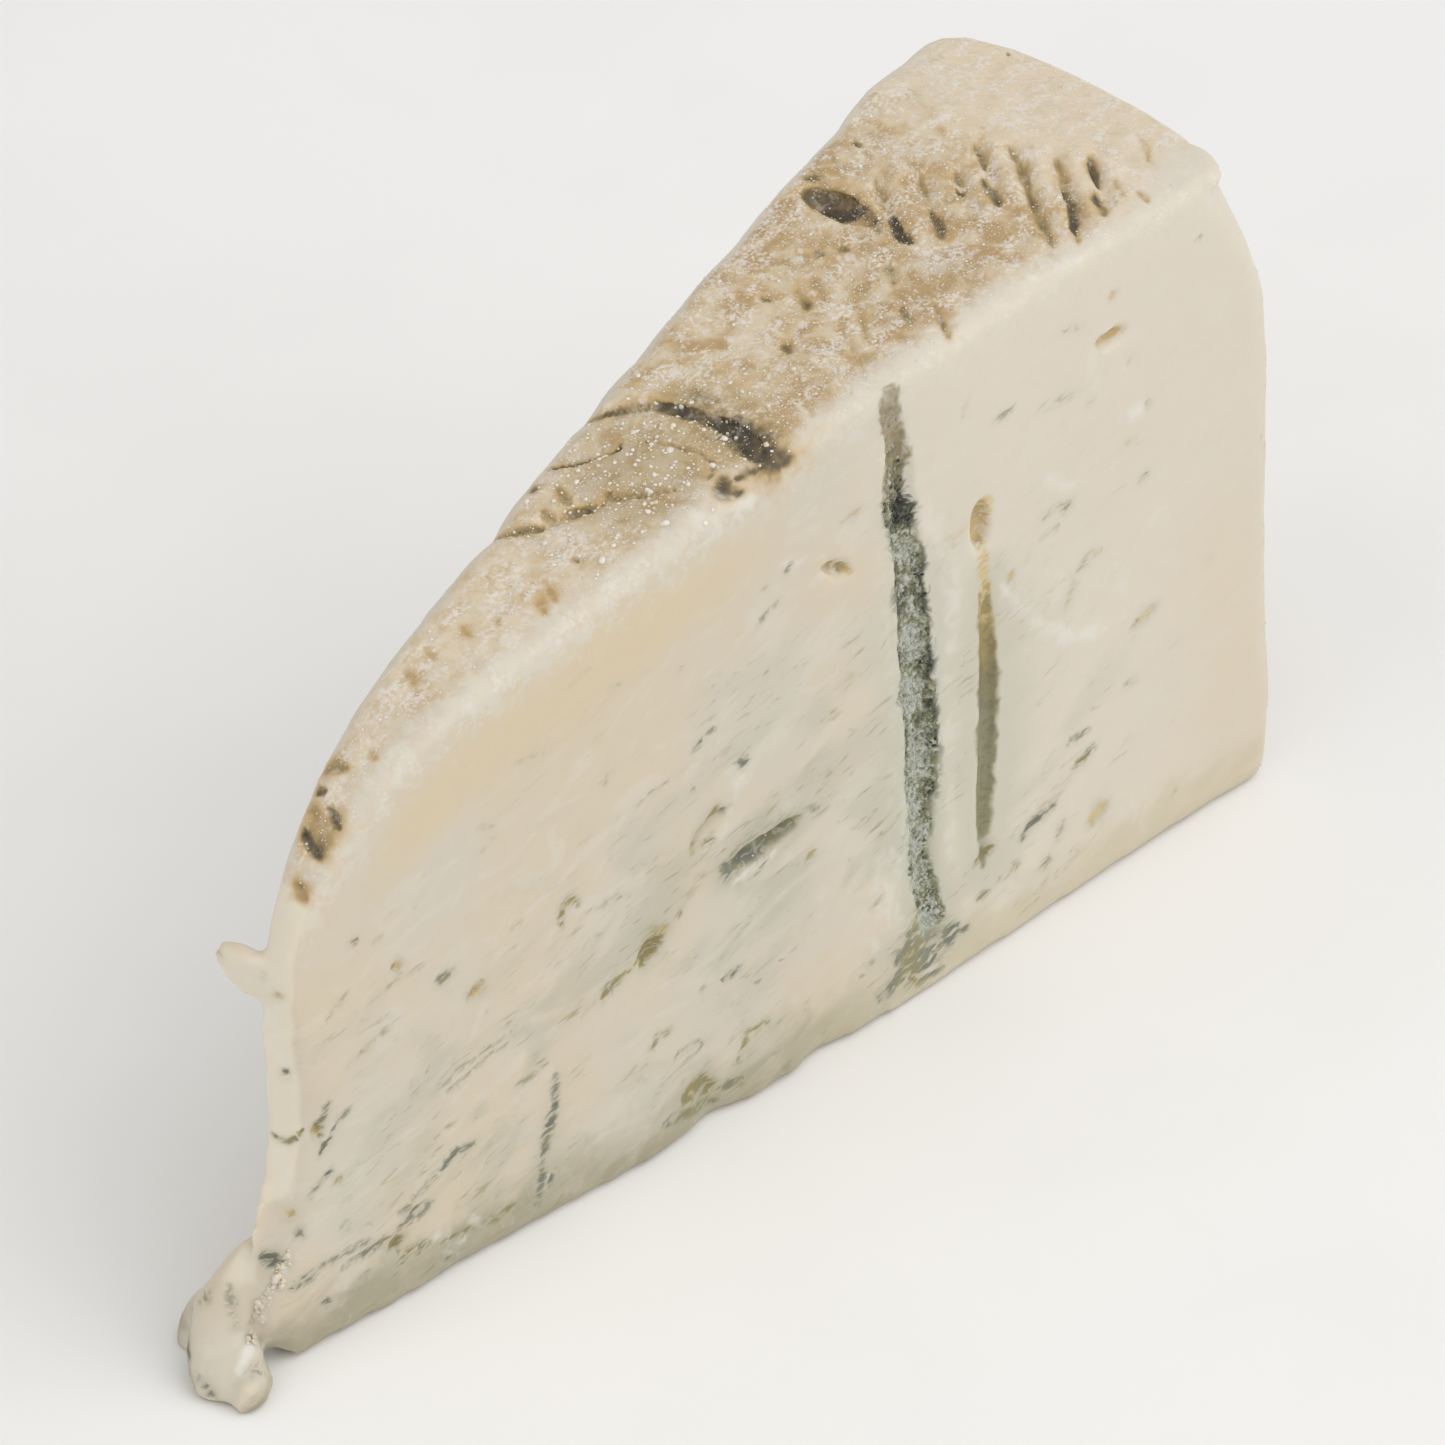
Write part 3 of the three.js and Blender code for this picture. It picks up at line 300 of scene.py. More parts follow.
# Pits that lie open in the cuts: side, half-width, strength, tone and path. Most are clear yellow-olive.
PITS = drawn(4, 2, (
    (NEAR, 1.5, 0.85, 0.97, 106.4, 56.4, 105.7, 54.6, 105.9, 52.2),
    (NEAR, 0.8, 0.7, 0.93, 105.9, 52, 106.2, 49, 106.5, 46.5),
    (NEAR, 0.55, 0.95, 0.75, 83.6, 60.2, 85.6, 59.2, 87.6, 57.6),
    (NEAR, 0.7, 0.9, 0.93, 121.9, 68.1, 123.8, 68, 125.8, 67.9),
    (NEAR, 0.5, 0.6, 0.95, 126.2, 63.9, 126.6, 63.4),
    (FAR, 1, 0.9, 0.85, 115.5, 57.4, 118, 58, 120.5, 58.6),
    (FAR, 0.8, 0.9, 0.5, 93.5, 33.6, 97, 33, 100.5, 32.4),
    (FAR, 0.7, 0.85, 0.7, 46, 40.2, 48, 41, 50, 41.8),
    (FAR, 0.8, 0.8, 0.6, 84.8, 17, 87.2, 17),
))


def hex_colour(text):
    """Linear red, green and blue of an sRGB hex colour."""
    shares = (int(text[i:i + 2], 16) / 255 for i in (1, 3, 5))
    return tuple(s / 12.92 if s <= 0.04045 else ((s + 0.055) / 1.055) ** 2.4 for s in shares)


def smoothstep(low, high, values):
    """Shares from 0 at low to 1 at high, eased at both ends."""
    share = np.clip((values - low) / (high - low), 0, 1)
    return share * share * (3 - 2 * share)


def bell(values):
    """A bell that is 1 at 0 and a half at 1."""
    return np.exp2(-values * values)


def lattice_noise(points, size, seed):
    """Smooth noise from -1 to 1 over points in mm, in lumps of about that size."""
    chance = np.random.default_rng(seed)
    table = chance.permutation(256)
    heights = chance.uniform(-1, 1, 256)
    places = points / size + chance.uniform(0, 50, 3)
    cells = np.floor(places).astype(int)
    shares = places - cells
    shares = shares * shares * (3 - 2 * shares)
    total = np.zeros(len(points))
    for corner in np.ndindex(2, 2, 2):
        i, j, k = ((cells + corner) & 255).T
        height = heights[table[(table[(table[i] + j) & 255] + k) & 255]]
        weight = np.prod(np.where(corner, shares, 1 - shares), axis=1)
        total += height * weight
    return total


def fractal_noise(points, size, seed, octaves=3):
    """Noise with finer noise on it, from about -1 to 1."""
    total = np.zeros(len(points))
    for octave in range(octaves):
        total += lattice_noise(points, size / 2 ** octave, seed + octave) / 2 ** octave
    return total / 1.5


def ridged_noise(points, size, seed):
    """Noise with sharp ridges at 1 and round hollows down to 0."""
    return 1 - np.abs(fractal_noise(points, size, seed, 2)) * 1.4


def warped(points, amount, size, seed):
    """Points moved about by noise, so that what is drawn by them comes out ragged."""
    shifts = [fractal_noise(points, size, seed + 7 * axis) for axis in range(3)]
    return points + amount * np.stack(shifts, axis=1)


def top_height(r):
    """Height of the rind's line at a distance from the axis."""
    return np.interp(r, *zip(*TOP_LINE))


def read(items, name, width=1, kind=np.float32):
    """One value of each item of a mesh as an array, with so many numbers to a row."""
    values = np.empty(len(items) * width, kind)
    items.foreach_get(name, values)
    return values.reshape(-1, width) if width > 1 else values


# Share of the way to its neighbours' mean that a value moves in one round of spreading.
SPREAD_SHARE = 0.6


class Skin:
    """The skin of a mesh in arrays: points in mm from the foot of the wheel's axis, and normals."""

    def __init__(self, mesh):
        self.mesh = mesh
        self.count = len(mesh.vertices)
        self.edges = read(mesh.edges, "vertices", 2, np.int32)
        self.points = read(mesh.vertices, "co", 3).astype(float) / MM
        self.points[:, 0] -= AXIS_X
        self.neighbours = np.bincount(self.edges.ravel(), minlength=self.count)[:, None]
        self.read_normals()

    def read_normals(self):
        """Reads the normals that the mesh has now."""
        self.normals = read(self.mesh.vertex_normals, "vector", 3).astype(float)

    def write_points(self):
        """Puts the points back into the mesh, above the base and inside the CAD model's box."""
        self.points[:, 2] = np.maximum(self.points[:, 2], 0)
        co = self.points.copy()
        co[:, 0] += AXIS_X
        co = np.clip(co * MM, CAD_BOX[0], CAD_BOX[1])
        self.mesh.vertices.foreach_set("co", co.astype(np.float32).ravel())
        self.mesh.update()
        self.read_normals()

    def pulled(self, values, share):
        """Values drawn towards the mean of their neighbours by a share."""
        a, b = self.edges.T
        total = np.stack([
            np.bincount(a, column[b], self.count) + np.bincount(b, column[a], self.count)
            for column in values.T
        ], axis=1)
        return values + share * (total / self.neighbours - values)

    def spread(self, values, rounds):
        """Values of one kind, evened out over the skin."""
        column = values[:, None]
        for _ in range(rounds):
            column = self.pulled(column, SPREAD_SHARE)
        return column[:, 0]

    def write(self, name, values):
        """Stores values as an attribute for the material."""
        attribute = self.mesh.attributes.new(name, "FLOAT", "POINT")
        attribute.data.foreach_set("value", np.clip(values, 0, 1).astype(np.float32))


# The ray that lays a point of the skin on the solid: how far outside the skin it starts and how long it is,
# in mm, and how squarely it has to meet the solid.
RAY_START = 1.4
RAY_LENGTH = 2.8
RAY_FACING = 0.2
# How far off a cut or the rim a ray starts that looks for a place on it, in mm.
SIDE_RAY_START = 20


class Solid:
    """The CAD solid, for finding places on it. Points are in mm from the foot of the wheel's axis."""

    def __init__(self, mesh):
        points = [(v.co.x / MM - AXIS_X, v.co.y / MM, v.co.z / MM) for v in mesh.vertices]
        self.tree = BVHTree.FromPolygons(points, [tuple(p.vertices) for p in mesh.polygons])

    def struck(self, start, direction):
        """Where a ray meets the solid."""
        place = self.tree.ray_cast(Vector(start), Vector(direction))[0]
        if place is None:
            raise RuntimeError(f"a mark lies off the wedge, at {tuple(start)}")
        return np.array(place)

    def on_cut(self, side, path):
        """Points on a cut by distance from the axis and height."""
        along, out = (NEAR_ALONG, NEAR_OUT) if side == NEAR else (FAR_ALONG, FAR_OUT)
        return [self.struck(r * along + (0, 0, z) + SIDE_RAY_START * out, -out) for r, z in path]

    def on_rind(self, path):
        """Points on the rind by plan."""
        return [self.struck((x, y, 2 * WHEEL_DEPTH), (0, 0, -1)) for x, y in path]

    def laid_on(self, points, normals):
        """Points moved onto the solid, straight down through the skin where that meets it."""
        laid = np.empty_like(points)
        for i, (point, normal) in enumerate(zip(points, normals)):
            start = Vector(point + normal * RAY_START)
            place, facing, _, _ = self.tree.ray_cast(start, Vector(-normal), RAY_LENGTH)
            if place is None or facing.dot(Vector(normal)) < RAY_FACING:
                place = self.tree.find_nearest(Vector(point))[0]
            laid[i] = place
        return laid


# How much narrower a stroke is at its ends, and how many half-widths out it still counts.
STROKE_TAPER = 0.45
STROKE_REACH = 2.6


def stroke_share(points, path, half_width):
    """Share of a stroke at each point: 1 along its path, a half at its half-width."""
    path = np.array(path, float)
    shares = np.zeros(len(points))
    reach = STROKE_REACH * half_width
    inside = np.all((points > path.min(0) - reach) & (points < path.max(0) + reach), axis=1)
    near = points[inside]
    if not len(near):
        return shares
    nearest = np.full(len(near), np.inf)
    place = np.zeros(len(near))
    steps = max(len(path) - 1, 1)
    for i in range(steps):
        start, step = path[i], path[min(i + 1, len(path) - 1)] - path[i]
        t = np.clip((near - start) @ step / max(step @ step, 1e-9), 0, 1)
        gap = np.linalg.norm(near - start - t[:, None] * step, axis=1)
        closer = gap < nearest
        nearest[closer] = gap[closer]
        place[closer] = ((i + t) / steps)[closer]
    width = half_width * (1 - STROKE_TAPER * np.abs(2 * place - 1) ** 2)
    shares[inside] = bell(nearest / width)
    return shares


def linked(name, data):
    """A new object in the scene."""
    piece = bpy.data.objects.new(name, data)
    bpy.context.scene.collection.objects.link(piece)
    return piece


# Vertices of the solid that are nearer than this are one, in metres.
WELD_DISTANCE = 1e-6


def stepped_skin(mesh, step):
    """The solid's mesh made again in even steps."""
    piece = linked("stepped", mesh.copy())
    welded = bmesh.new()
    welded.from_mesh(piece.data)
    bmesh.ops.remove_doubles(welded, verts=welded.verts, dist=WELD_DISTANCE)
    welded.to_mesh(piece.data)
    welded.free()
    remesh = piece.modifiers.new("Even steps", "REMESH")
    remesh.mode = "VOXEL"
    remesh.voxel_size = step
    evaluated = piece.evaluated_get(bpy.context.evaluated_depsgraph_get())
    made = bpy.data.meshes.new_from_object(evaluated)
    bpy.data.objects.remove(piece)
    return made


def subdivided(mesh, chosen):
    """The mesh with the faces whose vertices are all chosen cut in four."""
    work = bmesh.new()
    work.from_mesh(mesh)
    edges = {e for f in work.faces if all(chosen[v.index] for v in f.verts) for e in f.edges}
    bmesh.ops.subdivide_edges(work, edges=list(edges), cuts=1, use_grid_fill=True)
    work.to_mesh(mesh)
    work.free()
    return mesh


# The two cuts, the rind's top and rim, the base and the nose.
SIDES = ("near", "far", "top", "base", "rim", "nose")
# Where the rim and the nose are, in mm from the axis, and how high the rind comes down over the nose. Above
# that height the rind wins over the nose by its lead.
RIM_FROM = 136.0
NOSE_TO = 22.0
RIND_FROM_HEIGHT = 55.0
RIND_LEAD = 0.5
SIDE_ROUNDS = 6


def side_shares(skin):
    """Share of each side of the wedge at each point, soft along its edges."""
    x, y, z = skin.points.T
    radius = np.hypot(x, y)
    outward = (skin.normals[:, 0] * x + skin.normals[:, 1] * y) / np.maximum(radius, 1)
    up = skin.normals[:, 2]
    facing = np.stack([
        skin.normals @ NEAR_OUT,
        skin.normals @ FAR_OUT,
        up + RIND_LEAD * (z > RIND_FROM_HEIGHT),
        -up,
        np.where(radius > RIM_FROM, outward, -1),
        np.where(radius < NOSE_TO, -outward, -1),
    ])
    side = facing.argmax(axis=0)
    return {name: skin.spread((side == i).astype(float), SIDE_ROUNDS) for i, name in enumerate(SIDES)}


def strokes(points, on, marks, widening=1.0):
    """The marks of one kind of place, laid on points: each one's strength, tone and share."""
    for half_width, strength, tone, path in marks:
        yield strength, tone, stroke_share(points, on(path), widening * half_width)


def cut_place(solid, side):
    """Gives a path on one cut its places in space."""
    return lambda path: solid.on_cut(side, path)


# Seeds of the noises and of the scattered pieces.
SEED = 41
# The bedding of the curd: how steeply it rises towards the rim, and the size of its lumps in mm.
BEDDING_TILT = math.radians(14)
BEDDING_LUMPS = (7.0, 5.0, 2.4)
# Marks that chance lays on the far cut, the base and the rim: how many there are of each.
FAR_MARKS = 90
BASE_MARKS = 60
RIM_MARKS = 46
# Where they lie: distances from the axis, heights, and the gap to the rind's line, in mm.
MARK_RADII = (20, 142)
MARK_HEIGHTS = (4, 74)
MARK_GAP = 6
RIM_MARK_HEIGHTS = (6, 66)
# Their lengths and half-widths in mm, strengths and tones.
FAR_MARK_SIZES = ((0.6, 6), (0.2, 0.5), (0.3, 0.8), (0.15, 0.85))
BASE_MARK_SIZES = ((0.6, 5), (0.2, 0.6), (0.2, 0.6), (0.15, 0.85))
RIM_MARK_SIZES = ((1, 6), (0.2, 0.5), (0.3, 0.85), (0.3, 0.95))
# How far they lie from the wedge's middle at most, as a share of the way to a cut.
BASE_SPREAD = 0.85
RIM_SPREAD = 0.9


def scattered_marks(solid):
    """Dashes of mould along the bedding of the far cut and across the base, as paths in space."""
    chance = np.random.default_rng(SEED)
    marks = []
    while len(marks) < FAR_MARKS:
        r, z = chance.uniform(*MARK_RADII), chance.uniform(*MARK_HEIGHTS)
        if z > top_height(r) - MARK_GAP:
            continue
        length = chance.uniform(*FAR_MARK_SIZES[0])
        path = [(r + length * s, z + length * s * math.tan(BEDDING_TILT) + chance.normal(0, 0.3))
                for s in (-0.5, 0, 0.5)]
        marks.append((*(chance.uniform(*ends) for ends in FAR_MARK_SIZES[1:]), solid.on_cut(FAR, path)))
    while len(marks) < FAR_MARKS + BASE_MARKS:
        r = chance.uniform(*MARK_RADII)
        angle = chance.uniform(-BASE_SPREAD, BASE_SPREAD) * HALF_ANGLE
        heading = angle + chance.normal(0, 0.5)
        length = chance.uniform(*BASE_MARK_SIZES[0])
        step = 0.5 * length * np.array((math.cos(heading), math.sin(heading), 0))
        centre = np.array((r * math.cos(angle), r * math.sin(angle), 0))
        path = [centre - step, centre, centre + step]
        marks.append((*(chance.uniform(*ends) for ends in BASE_MARK_SIZES[1:]), path))
    return marks


def rim_marks(solid):
    """Creases and stains of the rim's rind, like those on top, as paths in space."""
    chance = np.random.default_rng(SEED + 60)
    marks = []
    for _ in range(RIM_MARKS):
        angle, z = chance.uniform(-RIM_SPREAD, RIM_SPREAD) * HALF_ANGLE, chance.uniform(*RIM_MARK_HEIGHTS)
        turn, length = chance.normal(0, 0.02), chance.uniform(*RIM_MARK_SIZES[0])
        path = []
        for share in (-0.5, 0, 0.5):
            out = np.array((math.cos(angle + turn * share), math.sin(angle + turn * share), 0))
            start = (WHEEL_RADIUS + SIDE_RAY_START) * out + (0, 0, z + length * share)
            path.append(solid.struck(start, -out))
        marks.append((*(chance.uniform(*ends) for ends in RIM_MARK_SIZES[1:]), path))
    return marks


# Where the rind is folded, in mm from the wheel's axis, and how far around it beads stand.
FOLD_PLACE = (69, -1, 73)
FOLD_REACH = (9, 8, 9)
# Depths in mm of what is pressed into the skin, and heights of what stands on it, at full strength.
CUT_MARK_DEPTH = 0.22
RIND_MARK_DEPTH = 0.5
CHALK_HEIGHT = 0.3
CRINKLE_HEIGHT = 0.4
TORN_HEIGHT = 0.32
# How far marks, veins and channels wander, and over what length, in mm.
MARK_WANDER = (0.32, 2.2)
VEIN_WANDER = (0.9, 3.2)
CHANNEL_WANDER = (0.3, 1.6)
# How much wider than drawn a mark is, and how much wider and how strong the haze around it is. Around
# a mark in the rind the haze is amber.
CUT_MARK_SPREAD = 1.45
CUT_HAZE = (3.6, 0.5)
RIND_MARK_SPREAD = 1.25
RIND_HAZE = 2.7
CHALK_SPREAD = 1.7
# How far from a vein's middle the paste is greyed by it, in mm.
GREYED_REACH = 6.0
# Veins wider than this are lined with mould; a narrower one is an olive channel, yellower at its top.
CHANNEL_WIDTH = 1.5
CHANNEL_STRENGTH = 0.95
CHANNEL_TONE = 0.54
CHANNEL_TOP_TONE = 0.25
CHANNEL_TOP = (38, 42)
# Between which two places each look of the skin sets in. Distances from the wheel's axis, in mm:
LIP_RADII = (128, 139)
BROWN_RADII = (136, 116)
RUDDY_RADII = (44, 74)
BAND_RADII = (16, 30)
BAND_END_RADII = (58, 92)
OUTER_RADII = (122, 143)
FIRM_RADII = (70, 118)
# heights in mm:
LIP_HEIGHTS = (62, 76)
RIM_CRUST_HEIGHTS = (76, 50)
OUTER_HEIGHTS = (66, 30)
NOSE_HEIGHTS = (6, 14)
CHANNEL_FOOT_HEIGHTS = (12, 25)
FROST_HEIGHTS = (58, 46)
DENSE_FROST_HEIGHTS = (28, 18)
GREYED_HEIGHTS = (62, 48)
VEIN_TOP_HEIGHTS = (60, 71)
# and distances from the cut edge, the near cut and the rind's line, in mm.
RIND_GAPS = (-0.4, 5.2)
LIP_GAPS = (9, 3)
MARBLING_DEPTHS = (5, 14)
# How far the pale edges of the near and far cut and the painted shade along their foot reach, in mm.
NEAR_EDGE_REACH = 3.3
FAR_EDGE_REACH = 2.6
LOW_SHADE_REACH = 5.6
# The ripe band under the rind: its depth and its reach, in mm.
BAND_DEPTH = 8
BAND_REACH = 5
# Clouds of marbling: strength, and middle and reach along the wedge and up it, in mm. The least is
# everywhere.
MARBLING_CLOUDS = ((0.85, 42, 30, 16, 22), (0.5, 78, 22, 30, 20), (0.35, 114, 14, 24, 24))
MARBLING_LEAST = 0.08


def bedded(points):
    """Points turned and squeezed so that even noise on them comes out as lumps along the bedding."""
    x, y, z = points.T
    cos, sin = math.cos(BEDDING_TILT), math.sin(BEDDING_TILT)
    turned = np.stack([cos * x + sin * z, y, cos * z - sin * x], axis=1)
    return turned / BEDDING_LUMPS


class Looks:
    """What the material and the relief read at each point of the skin, as shares from 0 to 1."""

    # What the material reads on the mesh.
    STORED = (
        "rind", "crust", "pale", "warm", "low", "greyed", "marbling", "vein", "frost", "vein_top", "stain",
        "haze", "channel", "fold", "soil", "amber", "tone", "chalk", "torn", "firm", "nose",
    )

    def __init__(self, skin, solid):
        points = skin.points
        x, y, z = points.T
        radius = np.hypot(x, y)
        sides = side_shares(skin)
        depth = np.maximum(top_height(radius) - z, 0)
        near_gap = np.maximum(-points @ NEAR_OUT, 0)
        far_gap = np.maximum(-points @ FAR_OUT, 0)
        wobble = fractal_noise(points, 4, SEED + 1)
        fine = fractal_noise(points, 1.2, SEED + 2)
        broad = fractal_noise(points, 22, SEED + 3)
        cut = sides["near"] + sides["far"]
        self.sides = sides
        # The rind fades out a little inside the cut edges, where the knife has drawn paste over it.
        edge_gap = np.minimum(near_gap, far_gap * 3) + 1.1 * wobble
        self.rind = np.maximum(sides["top"] * smoothstep(*RIND_GAPS, edge_gap), sides["rim"])
        lip = smoothstep(*LIP_RADII, radius) * smoothstep(*LIP_GAPS, near_gap) * smoothstep(*LIP_HEIGHTS, z)
        self.rind *= 1 - 0.85 * lip
        # The rind is browner in its middle and smoother and paler towards the rim and the nose.
        ruddy = 0.45 + 0.55 * smoothstep(*RUDDY_RADII, radius)
        self.crust = smoothstep(*BROWN_RADII, radius + 4 * wobble) * ruddy * (0.85 + 0.35 * broad)
        self.crust += sides["rim"] * smoothstep(*RIM_CRUST_HEIGHTS, z) * (0.5 + 0.7 * broad)
        self.fold = sides["top"] * bell(np.linalg.norm((points - FOLD_PLACE) / FOLD_REACH, axis=1))
        self.pale = bell((depth + near_gap) / NEAR_EDGE_REACH) * (cut + sides["top"]) * (0.8 + 0.35 * wobble)
        self.pale = np.maximum(self.pale, 0.8 * bell((depth + far_gap) / FAR_EDGE_REACH) * sides["far"])
        # The paste is warmer in a band under the rind and near the rim, and darkened by painted shade at the
        # foot of the cuts.
        band = smoothstep(*BAND_RADII, radius) * (1 - 0.85 * smoothstep(*BAND_END_RADII, radius))
        self.warm = bell((depth - BAND_DEPTH) / BAND_REACH) * band * cut * (0.85 + 0.3 * broad)
        outer = smoothstep(*OUTER_RADII, radius + 3 * wobble) * smoothstep(*OUTER_HEIGHTS, z + 6 * broad)
        self.warm = np.maximum(self.warm, 0.42 * cut * outer)
        # Painted shade along the foot of the cuts, where the edge turns under, and over the base.
        self.low = cut * bell(z / (LOW_SHADE_REACH + 2 * wobble)) + 0.6 * sides["base"]
        self.marbling = cut * self.marbling_share(x, z, depth, broad) + 0.5 * sides["base"]
        self.nose = sides["nose"] * smoothstep(*NOSE_HEIGHTS, z)
        self.firm = smoothstep(*FIRM_RADII, radius + 5 * broad)
        self.lay_veins(skin, solid)
        self.lay_marks(skin, solid)
        self.fine = fine
        self.wobble = wobble

    def marbling_share(self, x, z, depth, broad):
        """How thick the fine dashes of mould are: thickest low in the thin half of the wedge."""
        clouds = sum(
            strength * bell((x - along) / length) * bell((z - up) / height)
            for strength, along, length, up, height in MARBLING_CLOUDS
        )
        return (clouds + MARBLING_LEAST) * smoothstep(*MARBLING_DEPTHS, depth) * (1 + 0.5 * broad)

    def lay_veins(self, skin, solid):
        """Veins of blue mould, and where frost-like spores cover them."""
        x, y, z = skin.points.T
        self.vein = np.zeros(skin.count)
        self.greyed = np.zeros(skin.count)
        self.channel = np.zeros(skin.count)
        points = warped(skin.points, *VEIN_WANDER, SEED + 4)
        swelling = 0.3 * lattice_noise(skin.points, 5, SEED + 50)
        across = np.zeros(skin.count)
        for side, half_width, path in VEINS:
            places = cut_place(solid, side)(path)
            self.greyed = np.maximum(self.greyed, stroke_share(skin.points, places, GREYED_REACH))
            if half_width > CHANNEL_WIDTH:
                share = stroke_share(points, places, half_width) ** (1 - swelling)
                self.vein = np.maximum(self.vein, share)
                middle = np.interp(-z, [-place[2] for place in places], [place[0] for place in places])
                across += smoothstep(0.02, 0.2, share) * (x - middle) / half_width
            else:
                blurred = warped(skin.points, *CHANNEL_WANDER, SEED + 51)
                self.channel = np.maximum(self.channel, stroke_share(blurred, places, half_width))
                self.channel *= 0.55 + 0.45 * smoothstep(*CHANNEL_FOOT_HEIGHTS, z)
        # Frost lies on the middle of a vein, thickest below its half and on the side towards the nose.
        grown = smoothstep(*FROST_HEIGHTS, z)
        dense = 1 - 0.6 * smoothstep(*DENSE_FROST_HEIGHTS, z)
        self.frost = 0.42 + 0.2 * grown - 0.2 * across * grown + 0.1 * bell((z - 20) / 6)
        self.frost += 0.5 * (smoothstep(0.5, 0.85, self.vein) - 0.4) * dense
        # It is white in a ring, black above that on the side towards the rim, and thinner below it.
        black = 0.6 * bell((z - 61) / 2.6) * smoothstep(-0.6, 0.3, across)
        self.frost += 0.35 * bell((z - 57) / 2.2) - black
        self.frost += 0.4 * fractal_noise(skin.points, 3.5, SEED + 56) - 0.22 * bell((z - 51) / 6)
        self.greyed *= smoothstep(*GREYED_HEIGHTS, z)
        self.vein_top = smoothstep(*VEIN_TOP_HEIGHTS, z)

    def lay_marks(self, skin, solid):
        """Stains and their tones, soiled places in the rind, and chalky places."""
        count = skin.count
        points = warped(skin.points, *MARK_WANDER, SEED + 52)
        for name in ("stain", "haze", "soil", "amber", "sunk", "chalk", "torn"):
            setattr(self, name, np.zeros(count))
        weight = np.full(count, 1e-3)
        tone = 0.45 * weight
        on_near = cut_place(solid, NEAR)
        cut_marks = [(on_near, CUT_MARKS), (list, EDGE_MARKS), (list, scattered_marks(solid))]
        rind_marks = [(solid.on_rind, RIND_MARKS), (list, FOLD_MARKS), (list, rim_marks(solid))]
        kinds = [(self.stain, *marks, CUT_MARK_DEPTH, CUT_MARK_SPREAD) for marks in cut_marks]
        kinds += [(self.soil, *marks, RIND_MARK_DEPTH, RIND_MARK_SPREAD) for marks in rind_marks]
        for side in (NEAR, FAR):
            pits = [pit[1:] for pit in PITS if pit[0] == side]
            kinds.append((self.stain, cut_place(solid, side), pits, CUT_MARK_DEPTH, 1.0))
        for laid, on, marks, depth, spread in kinds:
            for strength, mark_tone, share in strokes(points, on, marks, spread):
                np.maximum(laid, strength * share, out=laid)
                np.maximum(self.sunk, depth * strength * share, out=self.sunk)
                weight += strength * share
                tone += mark_tone * strength * share
        for on, marks in (rind_marks[0], rind_marks[2]):
            for strength, _, share in strokes(points, on, marks, RIND_HAZE):
                np.maximum(self.amber, strength * share, out=self.amber)
        for on, marks in cut_marks:
            for strength, _, share in strokes(points, on, marks, CUT_HAZE[0]):
                np.maximum(self.haze, CUT_HAZE[1] * strength * share, out=self.haze)
        channel = CHANNEL_STRENGTH * self.channel
        weight += channel
        tone += (CHANNEL_TONE + CHANNEL_TOP_TONE * smoothstep(*CHANNEL_TOP, skin.points[:, 2])) * channel
        self.tone = tone / weight
        for on, marks in ((on_near, CUT_CHALK), (solid.on_rind, RIND_CHALK), (list, EDGE_CHALK)):
            for half_width, strength, path in marks:
                share = stroke_share(points, on(path), CHALK_SPREAD * half_width)
                self.chalk = np.maximum(self.chalk, strength * share)
        for half_width, strength, path in TORN_EDGE:
            self.torn = np.maximum(self.torn, strength * stroke_share(points, path, half_width))
        self.chalk = np.maximum(self.chalk, 0.8 * self.torn)

    def relief(self, points):
        """How far each point stands out of the smooth skin, in mm."""
        cut = self.sides["near"] + self.sides["far"] + 0.5 * self.sides["base"]
        lumps = lattice_noise(points, 5, SEED + 5)
        height = cut * (0.1 * fractal_noise(points, 15, SEED + 6) + 0.035 * lumps)
        height += cut * 0.03 * lattice_noise(bedded(points), 1, SEED + 7)
        pebbles = 0.2 * fractal_noise(points, 4.5, SEED + 8) + 0.2 * ridged_noise(points, 2.6, SEED + 53)
        grit = 0.14 * lattice_noise(points, 1.3, SEED + 9) + 0.06 * lattice_noise(points, 0.7, SEED + 10)
        height += self.rind * (0.3 + 0.7 * self.crust) * (pebbles + grit)
        height += self.nose * (0.07 * self.fine + 0.06 * self.wobble)
        height -= self.sunk * (1 + 0.4 * self.fine)
        height += CHALK_HEIGHT * self.chalk ** 2 * ridged_noise(points, 1.1, SEED + 54)
        height += TORN_HEIGHT * self.torn * (ridged_noise(points, 1.3, SEED + 55) - 0.35)
        crinkle = np.abs(lattice_noise(points, 1.1, SEED + 11))
        crinkle += 0.5 * np.abs(lattice_noise(points, 0.55, SEED + 12))
        height += CRINKLE_HEIGHT * smoothstep(0.3, 0.7, self.vein) * (0.6 - crinkle * 1.6)
        height -= self.sides["base"] * np.maximum(height, 0)
        return height

    def write(self, skin):
        """Stores what the material reads on the mesh."""
        for name in self.STORED:
            skin.write(name, getattr(self, name))


def add_node(tree, kind, inputs=(), output=0, stops=(), **settings):
    """Adds a shader node with its settings and links, and gives back one of its outputs.

    An input that is a name reads what the mesh stores under it. Stops are the places and colours of a ramp.
    """
    node = tree.nodes.new(kind)
    for name, value in settings.items():
        setattr(node, name, value)
    for socket, value in dict(inputs).items():
        if isinstance(value, str):
            value = add_node(tree, "ShaderNodeAttribute", output="Fac", attribute_name=value)
        if isinstance(value, bpy.types.NodeSocket):
            tree.links.new(value, node.inputs[socket])
        else:
            node.inputs[socket].default_value = value
    if stops:
        elements = node.color_ramp.elements
        while len(elements) < len(stops):
            elements.new(1)
        for element, (place, colour) in zip(elements, stops):
            element.position = place
            element.color = (*colour, 1)
    return node.outputs[output] if node.outputs else None


